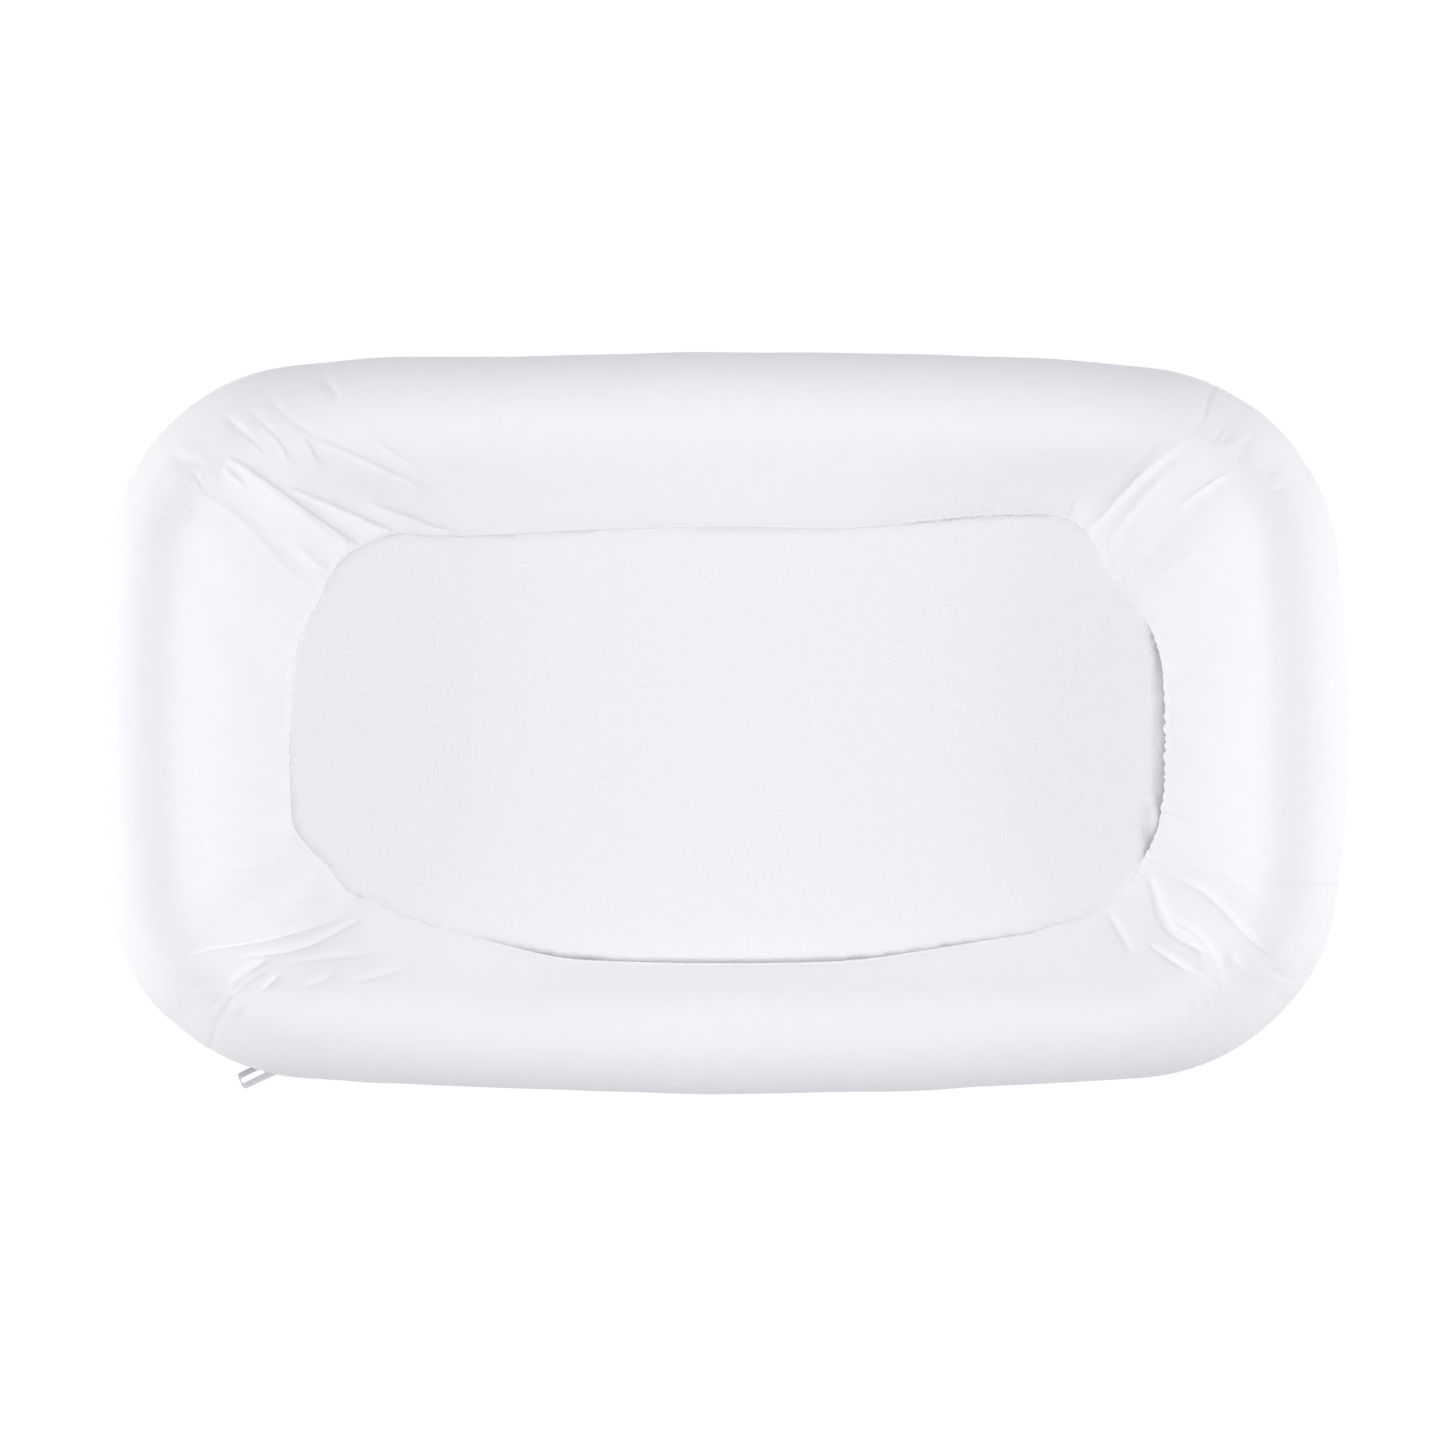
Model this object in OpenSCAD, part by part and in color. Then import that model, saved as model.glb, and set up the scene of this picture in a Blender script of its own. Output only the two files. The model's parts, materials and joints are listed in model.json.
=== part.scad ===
/* [Pad] */
// Length of the pad
pad_l = 750; // [700:5:800]
// Width of the pad
pad_w = 446; // [420:2:470]
// Height of the rim's crest above the ground
pad_h = 100; // [85:1:115]
// Radius of the bowed long sides
long_side_r = 3860; // [3000:20:6000]
// Radius of the bowed ends
end_r = 1255; // [1000:5:2000]
// Radius of the corners
corner_r = 128; // [115:1:150]

/* [Rim] */
// Width of the rim, with its covers
rim_w = 70; // [60:1:76]
// Radius of the rounding where the rim meets the ground
foot_r = 18; // [12:1:24]

/* [Fabric and foam] */
// Thickness of the jersey of the fitted cover
cover_t = 1.2; // [0.8:0.1:1.6]
// Thickness of the seam allowance inside each corner dart
dart_t = 1; // [0.6:0.1:1.4]
// Width of the seam allowance of a dart
dart_w = 7; // [4:0.5:12]
// Thickness of the waterproof casing
casing_t = 0.6; // [0.4:0.1:1]
// Clearance between one layer and the next
layer_gap = 0.2; // [0.1:0.05:0.4]
// Hairline between two stretches of one skin, where an arc meets the next
hairline = 0.04; // [0.02:0.01:0.1]
// Height of the casing's floor, inside the rim
floor_h = 43; // [30:1:50]

/* [Insert] */
// Length of the insert
insert_l = 554; // [520:2:570]
// Width of the insert
insert_w = 298; // [280:2:300]
// Corner radius of the insert
insert_corner_r = 60; // [40:1:75]
// How far the insert lies towards the left end
insert_shift = 18; // [10:1:20]
// Thickness of the terry face
terry_t = 1.4; // [1:0.1:2]
// Thickness of the wadding
wadding_t = 12; // [8:0.5:15]
// Thickness of the underside
backing_t = 0.8; // [0.5:0.1:1]

/* [Hem] */
// Length of the oval opening
hem_l = 530; // [500:2:540]
// Width of the oval opening
hem_w = 263; // [240:1:266]
// Corner radius of the opening
hem_corner_r = 90; // [70:1:95]
// Centre of the opening, from the centre of the pad
hem_centre = [3, -13.5];
// Width of the channel round the elastic
channel_w = 6; // [5:0.5:6]
// Height of the channel
channel_h = 3.6; // [3:0.1:5]
// Width of the elastic
elastic_w = 4.2; // [3:0.1:4.4]
// Thickness of the elastic
elastic_t = 1.2; // [0.8:0.1:1.6]

/* [Label] */
// Length of the folded label, from the seam to its fold
label_l = 27; // [15:1:28]
// Width of the label's ribbon
label_w = 8; // [6:0.5:8]
// Thickness of the folded label
label_t = 0.9; // [0.7:0.1:1.1]
// Thickness of the ribbon
ribbon_t = 0.3; // [0.2:0.05:0.3]
// Where the label leaves the front left corner, about the corner's centre
label_at = 260; // [240:1:262]
// Direction that the label points in
label_heading = 210; // [205:1:250]

/* [Hidden] */

// An outline is [half length, half width, long side radius, end radius, corner radius].
pad_line = [pad_l / 2, pad_w / 2, long_side_r, end_r, corner_r];
insert_line = [insert_l / 2, insert_w / 2, 3000, 900, insert_corner_r];
hem_line = [hem_l / 2, hem_w / 2, 2000, 500, hem_corner_r];

// The eight arcs of an outline, counter-clockwise from the right end.
RIGHT = 0; BACK_RIGHT = 1; BACK = 2; BACK_LEFT = 3;
LEFT = 4; FRONT_LEFT = 5; FRONT = 6; FRONT_RIGHT = 7;
ALL_ARCS = [0:7];

// Facets of a full circle, for the flat arcs and for the corners
flat_fn = 480;
corner_fn = 96;
// Steps of one arc in a filled outline
arc_steps = 10;

// How deep each layer lies under the outside of the cover
dart_d = cover_t;
casing_d = cover_t + dart_t + layer_gap;
foam_d = casing_d + casing_t + layer_gap;

rim_r = rim_w / 2;
insert_z = floor_h + layer_gap;
wadding_z = insert_z + backing_t;
terry_z = wadding_z + wadding_t;
skirt_z = terry_z + terry_t;
channel_wall = (channel_h - elastic_t) / 2 - layer_gap;
stitch_d = 0.5;

// The darts leave each corner at these angles about its centre.
dart_angles = [[BACK_RIGHT, 61], [BACK_LEFT, 148], [FRONT_LEFT, 241], [FRONT_RIGHT, 328]];

// The label folds up about a line this far inside the outline.
label_depth = 8;
label_z = 0.15;
root_l = label_w / cos(label_heading - label_at);
root_d = label_t + 0.1;
root_gap = 0.1;
tack_w = 1.4;

// Where two circles of radii r and s meet, at distance l, along and across their line
function meet(r, s, l) = let(x = (r * r - s * s + l * l) / (2 * l)) [x, sqrt(r * r - x * x)];

// Centre of the back right corner arc, which touches the flat arcs from inside
function corner_centre(o) =
    let(back = [0, o[1] - o[2]], right = [o[0] - o[3], 0],
        span = right - back, l = norm(span), along = span / l,
        m = meet(o[2] - o[4], o[3] - o[4], l))
    back + along * m[0] + [along[1], -along[0]] * m[1];

// One arc of an outline: [centre, radius, start angle, sweep, facets of a full circle]
function arc(o, i) =
    let(c = corner_centre(o),
        steep = atan2(c[1] - o[1] + o[2], c[0]),
        low = atan2(c[1], c[0] - o[0] + o[3]),
        turn = i >= LEFT ? 180 : 0,
        k = i % 4,
        flip = i >= LEFT ? -1 : 1)
    k == RIGHT ? [[flip * (o[0] - o[3]), 0], o[3], turn - low, 2 * low, flat_fn]
    : k == BACK_RIGHT ? [flip * c, o[4], turn + low, steep - low, corner_fn]
    : k == BACK ? [[0, flip * (o[1] - o[2])], o[2], turn + steep, 180 - 2 * steep, flat_fn]
    : [[-flip * c[0], flip * c[1]], o[4], turn + 180 - steep, steep - low, corner_fn];

function arc_points(a, grow) =
    [for (j = [0 : arc_steps - 1])
        let(t = a[2] + a[3] * j / arc_steps) a[0] + (a[1] + grow) * [cos(t), sin(t)]];

// A flat shape that fills an outline, grown outwards by grow
module filled(o, grow = 0)
    polygon([for (i = ALL_ARCS) each arc_points(arc(o, i), grow)]);

// A flat band along an outline, from inner to outer
module band(o, inner, outer) difference() {
    filled(o, outer);
    filled(o, inner);
}

// Sweeps a section along one arc: the section's x is how far inside the outline it lies.
module swept(a) translate(a[0]) rotate(a[2])
    rotate_extrude(angle = a[3], $fn = a[4]) translate([a[1], 0]) mirror([1, 0]) children();

// An arc that stops half a hairline short at each end
function trimmed(a) =
    let(cut = hairline / a[1] * 180 / PI) [a[0], a[1], a[2] + cut / 2, a[3] - cut, a[4]];

// Sweeps the section of a skin right round the rim, one arc at a time. The cloth is one piece:
// the hairlines keep each stretch a true surface of revolution.
module round_rim() for (i = ALL_ARCS) swept(trimmed(arc(pad_line, i))) children();

// Section of the rim, at a depth under the outside of the cover
module rim_section(d) {
    translate([rim_r, pad_h - rim_r]) circle(rim_r - d, $fn = 96);
    translate([d, foot_r]) square([rim_w - 2 * d, pad_h - rim_r - foot_r]);
    translate([foot_r, foot_r]) circle(foot_r - d, $fn = 64);
    translate([foot_r, d]) square([rim_w - foot_r - d, foot_r]);
}

// Section of a skin over the rim, open on the inside below open_h
module skin_section(d, t, open_h) difference() {
    rim_section(d);
    rim_section(d + t);
    translate([foot_r, -1]) square([rim_w, open_h + 1]);
}

module base_panel() color("white")
    linear_extrude(cover_t) filled(pad_line, -foot_r);

module base_seam_stitching() color("whitesmoke")
    translate([0, 0, cover_t]) linear_extrude(stitch_d) band(pad_line, -foot_r - 4, -foot_r - 3.5);

module core_foam() color("khaki") translate([0, 0, foam_d])
    linear_extrude(floor_h - casing_t - layer_gap - foam_d) filled(pad_line, -rim_w);

module bumper_foam(i) color("lemonchiffon") swept(arc(pad_line, i)) rim_section(foam_d);

module waterproof_casing() color("gainsboro") {
    round_rim() skin_section(casing_d, casing_t, floor_h - casing_t);
    translate([0, 0, casing_d]) linear_extrude(casing_t) filled(pad_line, -foot_r - hairline);
    translate([0, 0, floor_h - casing_t])
        linear_extrude(casing_t) filled(pad_line, casing_d - hairline - rim_w);
}

module fitted_cover() color("white") round_rim() skin_section(0, cover_t, skirt_z);

// The part of the cover that lies on the insert, from the rim's foot to the hem
module cover_skirt() color("white") translate([0, 0, skirt_z])
    linear_extrude(cover_t) difference() {
        filled(pad_line, -rim_w);
        translate(hem_centre) filled(hem_line, channel_w);
    }

// The seam allowance of a dart, on the inside of the cover's wall
module dart(k) color("whitesmoke") {
    a = arc(pad_line, dart_angles[k][0]);
    sweep = dart_w / a[1] * 180 / PI;
    swept([a[0], a[1], dart_angles[k][1] - sweep / 2, sweep, a[4] * 4])
        skin_section(dart_d, dart_t, skirt_z);
}

module hem_channel() translate([hem_centre[0], hem_centre[1], skirt_z]) children();

module hem_casing() color("white") hem_channel() difference() {
    linear_extrude(channel_h) band(hem_line, 0, channel_w);
    translate([0, 0, channel_wall]) linear_extrude(channel_h - 2 * channel_wall)
        band(hem_line, (channel_w - elastic_w) / 2 - layer_gap,
             (channel_w + elastic_w) / 2 + layer_gap);
}

module hem_elastic() color("ivory") hem_channel() translate([0, 0, channel_wall + layer_gap])
    linear_extrude(elastic_t)
        band(hem_line, (channel_w - elastic_w) / 2, (channel_w + elastic_w) / 2);

module hem_stitching() color("whitesmoke") hem_channel() translate([0, 0, channel_h])
    linear_extrude(stitch_d) band(hem_line, channel_w - stitch_d, channel_w);

module insert_layer(z, t) translate([-insert_shift, 0, z])
    linear_extrude(t) filled(insert_line);

module insert_backing() color("gainsboro") insert_layer(insert_z, backing_t);

module insert_wadding() color("white") insert_layer(wadding_z, wadding_t);

module insert_top() color("snow") insert_layer(terry_z, terry_t);

// Puts the label's root on the floor under the rim, with x pointing straight out of the pad
module at_label_root() {
    a = arc(pad_line, FRONT_LEFT);
    root = a[0] + (a[1] - label_depth) * [cos(label_at), sin(label_at)];
    translate([root[0], root[1], label_z]) rotate(label_at) children();
}

// The ribbon's outline, out to length l: it leaves the seam at a slant, and its tip is square
module ribbon(l) {
    along = [cos(label_heading - label_at), sin(label_heading - label_at)];
    across = [-along[1], along[0]];
    tips = [for (side = [1, -1]) along * l + across * side * label_w / 2];
    roots = [for (tip = tips) tip - along * tip[0] / along[0]];
    polygon([roots[0], tips[0], tips[1], roots[1]]);
}

// A ribbon folded in two, with its fold at the tip and a rounded root that rolls on the seam
module care_label() color("white") at_label_root() {
    difference() {
        linear_extrude(label_t) ribbon(label_l);
        translate([0, 0, ribbon_t]) linear_extrude(label_t - 2 * ribbon_t)
            ribbon(label_l - 2 * ribbon_t);
    }
    translate([0, 0, label_t / 2]) rotate([90, 0, 0])
        cylinder(d = root_d, h = root_l + root_d, center = true, $fn = corner_fn);
}

// Bar tack that holds the ribbon's two ends under the rim, clear of the root that rolls
module label_stitching() color("whitesmoke") at_label_root()
    translate([-root_d / 2 - root_gap - tack_w, -root_l / 2, 0]) cube([tack_w, root_l, label_t]);

base_panel();
base_seam_stitching();
core_foam();
bumper_foam(FRONT);  // front_bumper_foam
bumper_foam(BACK);  // back_bumper_foam
bumper_foam(LEFT);  // left_bumper_foam
bumper_foam(RIGHT);  // right_bumper_foam
bumper_foam(FRONT_LEFT);  // corner_foam_front_left
bumper_foam(FRONT_RIGHT);  // corner_foam_front_right
bumper_foam(BACK_LEFT);  // corner_foam_back_left
bumper_foam(BACK_RIGHT);  // corner_foam_back_right
waterproof_casing();
fitted_cover();
cover_skirt();
dart(0);  // dart_back_right
dart(1);  // dart_back_left
dart(2);  // dart_front_left
dart(3);  // dart_front_right
hem_casing();
hem_elastic();
hem_stitching();
insert_backing();
insert_wadding();
insert_top();
label_stitching();
care_label();
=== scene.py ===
# %% [markdown]
# # A changing pad in a fitted jersey cover
# The real pad is a foam tray. A soft rim goes round all four sides, a padded insert lies in
# the recess, and one fitted cover of white jersey holds everything together: it starts at a
# seam under the pad, climbs the wall, rolls over the rim and slopes down to a gathered hem.
# The frame of the model is loaded first, because every piece below takes its place from it.

# %% Load the frame
import json
import bmesh
import bpy
import numpy as np
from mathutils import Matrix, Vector
from mathutils.bvhtree import BVHTree


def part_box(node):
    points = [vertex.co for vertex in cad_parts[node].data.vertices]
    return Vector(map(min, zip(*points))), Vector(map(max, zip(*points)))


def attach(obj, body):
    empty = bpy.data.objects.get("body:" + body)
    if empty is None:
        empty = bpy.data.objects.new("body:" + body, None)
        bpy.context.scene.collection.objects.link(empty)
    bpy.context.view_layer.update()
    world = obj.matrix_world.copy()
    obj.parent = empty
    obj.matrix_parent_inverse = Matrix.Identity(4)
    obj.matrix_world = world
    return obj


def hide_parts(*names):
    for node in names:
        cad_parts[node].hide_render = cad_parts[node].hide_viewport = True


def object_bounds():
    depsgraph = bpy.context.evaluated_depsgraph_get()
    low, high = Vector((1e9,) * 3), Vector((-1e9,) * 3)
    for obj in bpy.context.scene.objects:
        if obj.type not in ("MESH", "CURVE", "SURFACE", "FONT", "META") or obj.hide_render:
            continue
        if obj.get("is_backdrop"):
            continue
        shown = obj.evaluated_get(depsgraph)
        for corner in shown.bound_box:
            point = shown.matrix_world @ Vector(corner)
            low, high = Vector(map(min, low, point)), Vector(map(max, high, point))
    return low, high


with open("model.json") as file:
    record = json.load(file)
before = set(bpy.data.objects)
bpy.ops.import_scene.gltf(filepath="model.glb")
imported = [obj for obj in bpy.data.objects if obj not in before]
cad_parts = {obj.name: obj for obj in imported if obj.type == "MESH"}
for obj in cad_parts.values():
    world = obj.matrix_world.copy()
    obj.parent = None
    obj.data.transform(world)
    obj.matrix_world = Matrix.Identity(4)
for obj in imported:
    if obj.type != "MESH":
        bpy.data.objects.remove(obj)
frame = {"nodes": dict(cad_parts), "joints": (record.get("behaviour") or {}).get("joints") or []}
cad_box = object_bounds()
MM = 0.001
print("the pad measures", [round(s * 1000) for s in cad_box[1] - cad_box[0]], "mm")

# %% [markdown]
# ## The pad's outline
# Seen from above the pad is a bowed rectangle: eight arcs that run smoothly into each other.
# It could be a spline through many points, but arcs need only five sizes, and the same few
# lines also give the outline of the insert and of the oval hem. A place on an outline is
# called a turn: it runs from 0 to 8, its whole part names the arc, and its fraction says how
# far along that arc it is.

# %% Outlines made of eight arcs
RIGHT, BACK_RIGHT, BACK, BACK_LEFT, LEFT, FRONT_LEFT, FRONT, FRONT_RIGHT = range(8)


def outline_arcs(half_l, half_w, side_r, end_r, corner_r, centre=(0.0, 0.0)):
    """Centres, radii, start angles and sweeps of the arcs, counter-clockwise from the right end."""
    side = np.array([0.0, half_w - side_r])
    end = np.array([half_l - end_r, 0.0])
    gap = np.hypot(*(end - side))
    along = (end - side) / gap
    r, s = side_r - corner_r, end_r - corner_r
    x = (r * r - s * s + gap * gap) / (2 * gap)
    corner = side + along * x + np.array([along[1], -along[0]]) * np.sqrt(r * r - x * x)
    steep = np.arctan2(corner[1] - side[1], corner[0])
    low = np.arctan2(corner[1], corner[0] - end[0])
    mirrored = corner * [-1, 1]
    half = [(end, end_r, -low, 2 * low), (corner, corner_r, low, steep - low),
            (side, side_r, steep, np.pi - 2 * steep), (mirrored, corner_r, np.pi - steep, steep - low)]
    arcs = half + [(-c, r, a + np.pi, sweep) for c, r, a, sweep in half]
    return [(c + np.array(centre), r, a, sweep) for c, r, a, sweep in arcs]


def on_outline(arcs, turn):
    """Points and outward normals at an array of turns."""
    turn = np.asarray(turn) % 8
    index = np.minimum(turn.astype(int), 7)
    centre = np.array([a[0] for a in arcs])[index]
    radius = np.array([a[1] for a in arcs])[index]
    angle = np.array([a[2] for a in arcs])[index] + np.array([a[3] for a in arcs])[index] * (turn - index)
    normal = np.stack([np.cos(angle), np.sin(angle)], axis=-1)
    return centre + radius[:, None] * normal, normal


def inset_from(arcs, places):
    """How far inside an outline each place on the plan lies."""
    inset = np.full(len(places), np.inf)
    for centre, radius, start, sweep in arcs:
        away = places - centre
        angle = (np.arctan2(away[:, 1], away[:, 0]) - start) % (2 * np.pi)
        depth = radius - np.hypot(away[:, 0], away[:, 1])
        inset = np.where((angle <= sweep) & (depth < inset), depth, inset)
    return inset


def arc_length(arcs, turn):
    """How far round the outline each turn lies, in metres."""
    lengths = np.array([a[1] * a[3] for a in arcs])
    start = np.concatenate([[0], np.cumsum(lengths)])
    index = np.minimum(np.asarray(turn).astype(int), 7)
    return start[index] + lengths[index] * (turn - index)


def spaced_turns(arcs, spacing):
    """Turns right round an outline, as far apart as spacing(turn) says."""
    fine = np.linspace(0, 8, 8001)
    steps = np.diff(arc_length(arcs, fine)) / spacing((fine[1:] + fine[:-1]) / 2)
    total = np.concatenate([[0], np.cumsum(steps)])
    count = int(round(total[-1]))
    return np.interp(np.arange(count) * total[-1] / count, total, fine)


cover_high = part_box("fitted_cover")[1]
insert_low, insert_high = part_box("insert_top")
hem_low, hem_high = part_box("hem_casing")
PAD_LONG_R, PAD_END_R, PAD_CORNER_R = 3.860, 1.255, 0.128
pad_arcs = outline_arcs(cover_high.x, cover_high.y, PAD_LONG_R, PAD_END_R, PAD_CORNER_R)
hem_width = 6 * MM
hem_centre = (hem_low + hem_high) / 2
hem_half = (hem_high - hem_low) / 2
hem_arcs = outline_arcs(hem_half.x - hem_width, hem_half.y - hem_width, 2.0, 0.5, 0.09,
                        (hem_centre.x, hem_centre.y))
insert_centre = (insert_low + insert_high) / 2
insert_half = (insert_high - insert_low) / 2
insert_arcs = outline_arcs(insert_half.x, insert_half.y, 3.0, 0.9, 0.06,
                           (insert_centre.x, insert_centre.y))
print("round the rim it is", round(arc_length(pad_arcs, np.array([7.9999]))[0], 3), "m")

# %% [markdown]
# ## Meshes from rows of points
# Cloth that runs round a pad is easiest to build as a net: rows of points, each row a closed
# ring. The helpers here turn such a net into a mesh, with a UV map in metres, so that a knit
# drawn on it keeps its real scale and follows the cloth.

# %% Nets, meshes and materials on them
def link_mesh(name, points, faces, material, uv=None):
    """A smooth-shaded mesh object from points, faces and, if given, a UV for each point."""
    mesh = bpy.data.meshes.new(name)
    mesh.from_pydata([tuple(p) for p in points], [], [tuple(map(int, f)) for f in faces])
    if uv is not None:
        loops = np.zeros(len(mesh.loops), int)
        mesh.loops.foreach_get("vertex_index", loops)
        layer = mesh.uv_layers.new(name="cloth")
        layer.data.foreach_set("uv", np.asarray(uv)[loops].astype(np.float32).ravel())
    mesh.shade_smooth()
    mesh.materials.append(material)
    obj = bpy.data.objects.new(name, mesh)
    bpy.context.scene.collection.objects.link(obj)
    return obj


def ring_faces(rows, columns, wrap_rows=False):
    """Quads of a net whose rows are closed rings, facing outwards when rows climb."""
    r, c = np.meshgrid(np.arange(rows if wrap_rows else rows - 1), np.arange(columns), indexing="ij")
    up, over = (r + 1) % rows, (c + 1) % columns
    corners = [r * columns + c, r * columns + over, up * columns + over, up * columns + c]
    return np.stack([k.ravel() for k in corners], axis=1)


def net_normals(net):
    """Outward normals of a net of rows x columns x 3."""
    round_it = np.roll(net, -1, axis=1) - np.roll(net, 1, axis=1)
    climb = np.gradient(net, axis=0)
    normal = np.cross(round_it, climb)
    return normal / np.maximum(np.linalg.norm(normal, axis=2, keepdims=True), 1e-12)


def smooth_step(x):
    x = np.clip(x, 0, 1)
    return x * x * (3 - 2 * x)


# %% [markdown]
# ## Materials: how cloth is described
# Everything that shows is white, so colour tells little: what tells jersey from terry is how
# light breaks on the knit. Each cloth is a Principled shader with a rough surface and a soft
# sheen, and a bump from a pattern at the real scale of its stitches. The patterns are
# procedural, so they hold at any scale and under any light.

# %% A small kit for node materials
def new_material(name, colour, roughness, sheen=0.0, specular=0.3):
    """A Principled material; returns its material, nodes, links and shader."""
    material = bpy.data.materials.new(name)
    material.use_nodes = True
    nodes, links = material.node_tree.nodes, material.node_tree.links
    shader = nodes["Principled BSDF"]
    shader.inputs["Base Color"].default_value = (*colour, 1)
    shader.inputs["Roughness"].default_value = roughness
    shader.inputs["Sheen Weight"].default_value = sheen
    shader.inputs["Sheen Roughness"].default_value = 0.6
    shader.inputs["Specular IOR Level"].default_value = specular
    return material, nodes, links, shader


def coordinates(nodes, links, source, scale):
    """Object or UV coordinates, in metres, times scale."""
    place = nodes.new("ShaderNodeTexCoord")
    mapping = nodes.new("ShaderNodeMapping")
    mapping.inputs["Scale"].default_value = scale
    links.new(place.outputs[source], mapping.inputs["Vector"])
    return mapping.outputs["Vector"]


def noise(nodes, links, vector, detail=2.0, roughness=0.5):
    texture = nodes.new("ShaderNodeTexNoise")
    texture.inputs["Scale"].default_value = 1.0
    texture.inputs["Detail"].default_value = detail
    texture.inputs["Roughness"].default_value = roughness
    links.new(vector, texture.inputs["Vector"])
    return texture.outputs["Fac"]


def wave(nodes, links, vector, direction, distortion=0.0, profile="SIN"):
    """Bands, one to each unit of the vector."""
    texture = nodes.new("ShaderNodeTexWave")
    texture.bands_direction = direction
    texture.wave_profile = profile
    texture.inputs["Scale"].default_value = 2 * np.pi / 20
    texture.inputs["Distortion"].default_value = distortion
    links.new(vector, texture.inputs["Vector"])
    return texture.outputs["Fac"]


def math_node(nodes, links, operation, a, b):
    node = nodes.new("ShaderNodeMath")
    node.operation = operation
    for socket, value in zip(node.inputs, (a, b)):
        if isinstance(value, (int, float)):
            socket.default_value = value
        else:
            links.new(value, socket)
    return node.outputs[0]


def bump(nodes, links, shader, height, distance, strength=1.0, below=None):
    """Bump from a height of 0 to 1 that stands for distance metres."""
    node = nodes.new("ShaderNodeBump")
    node.inputs["Distance"].default_value = distance
    node.inputs["Strength"].default_value = strength
    links.new(height, node.inputs["Height"])
    if below is not None:
        links.new(below, node.inputs["Normal"])
    links.new(node.outputs["Normal"], shader.inputs["Normal"])
    return node.outputs["Normal"]


def tint(nodes, links, shader, factor, low, high):
    """Base colour that runs from low to high with factor."""
    ramp = nodes.new("ShaderNodeMix")
    ramp.data_type = "RGBA"
    ramp.inputs["A"].default_value = (*low, 1)
    ramp.inputs["B"].default_value = (*high, 1)
    links.new(factor, ramp.inputs["Factor"])
    links.new(ramp.outputs["Result"], shader.inputs["Base Color"])


# %% Jersey: fine columns of knit stitches, slightly cool white
def make_jersey():
    material, nodes, links, shader = new_material("cotton_jersey", (0.9, 0.9, 0.92), 0.9, 0.15, 0.15)
    columns = wave(nodes, links, coordinates(nodes, links, "UV", (1100, 1100, 1)), "X", 0.6)
    rows = wave(nodes, links, coordinates(nodes, links, "UV", (1100, 1500, 1)), "Y", 1.2)
    knit = math_node(nodes, links, "MULTIPLY", columns, rows)
    fuzz = noise(nodes, links, coordinates(nodes, links, "Object", (260, 260, 260)), 4, 0.6)
    slack = noise(nodes, links, coordinates(nodes, links, "Object", (38, 38, 38)), 3, 0.5)
    first = bump(nodes, links, shader, slack, 1.2 * MM, 0.35)
    second = bump(nodes, links, shader, knit, 0.25 * MM, 0.5, first)
    bump(nodes, links, shader, fuzz, 0.25 * MM, 0.5, second)
    patches = noise(nodes, links, coordinates(nodes, links, "Object", (90, 90, 90)), 3, 0.6)
    tint(nodes, links, shader, patches, (0.885, 0.885, 0.905), (0.915, 0.915, 0.93))
    return material


jersey = make_jersey()

# %% Terry: short loops, each a speck of light and shade
def make_terry():
    material, nodes, links, shader = new_material("terry_knit", (0.92, 0.91, 0.92), 0.95, 0.2, 0.1)
    loops = nodes.new("ShaderNodeTexVoronoi")
    loops.inputs["Scale"].default_value = 1.0
    loops.inputs["Randomness"].default_value = 0.8
    links.new(coordinates(nodes, links, "Object", (620, 620, 300)), loops.inputs["Vector"])
    fuzz = noise(nodes, links, coordinates(nodes, links, "Object", (420, 420, 420)), 3, 0.65)
    pile = math_node(nodes, links, "SUBTRACT", fuzz, loops.outputs["Distance"])
    crushed = noise(nodes, links, coordinates(nodes, links, "Object", (30, 30, 30)), 3, 0.55)
    first = bump(nodes, links, shader, crushed, 1.0 * MM, 0.4)
    bump(nodes, links, shader, pile, 0.5 * MM, 0.55, first)
    tint(nodes, links, shader, pile, (0.885, 0.875, 0.885), (0.94, 0.935, 0.94))
    return material


terry = make_terry()
print("cloths made:", jersey.name, terry.name)

# %% [markdown]
# ## The cover's base shape
# The jersey is pulled over the rim and down into the recess by the elastic in its hem. Over
# the rim it follows the foam. Inside, it leaves the foam and runs straight to the hem, as a
# tent's side does. So each column of the net goes up the wall, over the roll, and along the
# tangent from the roll to the hem. The net is finer at the corners, where the cloth folds.

# %% Sizes of the rim and the hem
roll_r = 35 * MM
foot_r = 18 * MM
rest_z = insert_high.z
hem_half_height = 1.5 * MM
hem_half_width = hem_width / 2 + 0.3 * MM
hem_rest_z = rest_z + 1.9 * MM
hem_rise_z = 7 * MM
meet_angle = np.radians(128)
puff_reach = 2.1 * MM
roll_z = cover_high.z - roll_r

# Places, in millimetres, where the cloth draws the hem off its oval. hem_pull_points reads
# them from the middle of the pad, but they were measured from the middle of the opening, so
# here the hem lies off by hem_centre. Beyond each stretch the pull fades out over pull_fade
# of a turn.
HEM_STRETCHES = [
    [(252, 68)],
    [(216, 120), (195, 126), (165, 126)],
    [(-199, 114), (-215, 108), (-229, 100)],
    [(-239, -85), (-222, -105), (-211, -106), (-179, -120)],
    [(165, -130), (200, -122), (227, -113), (257, -77), (263, -64)],
]
pull_fade = 0.24
pull_easing = 0.045


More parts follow.
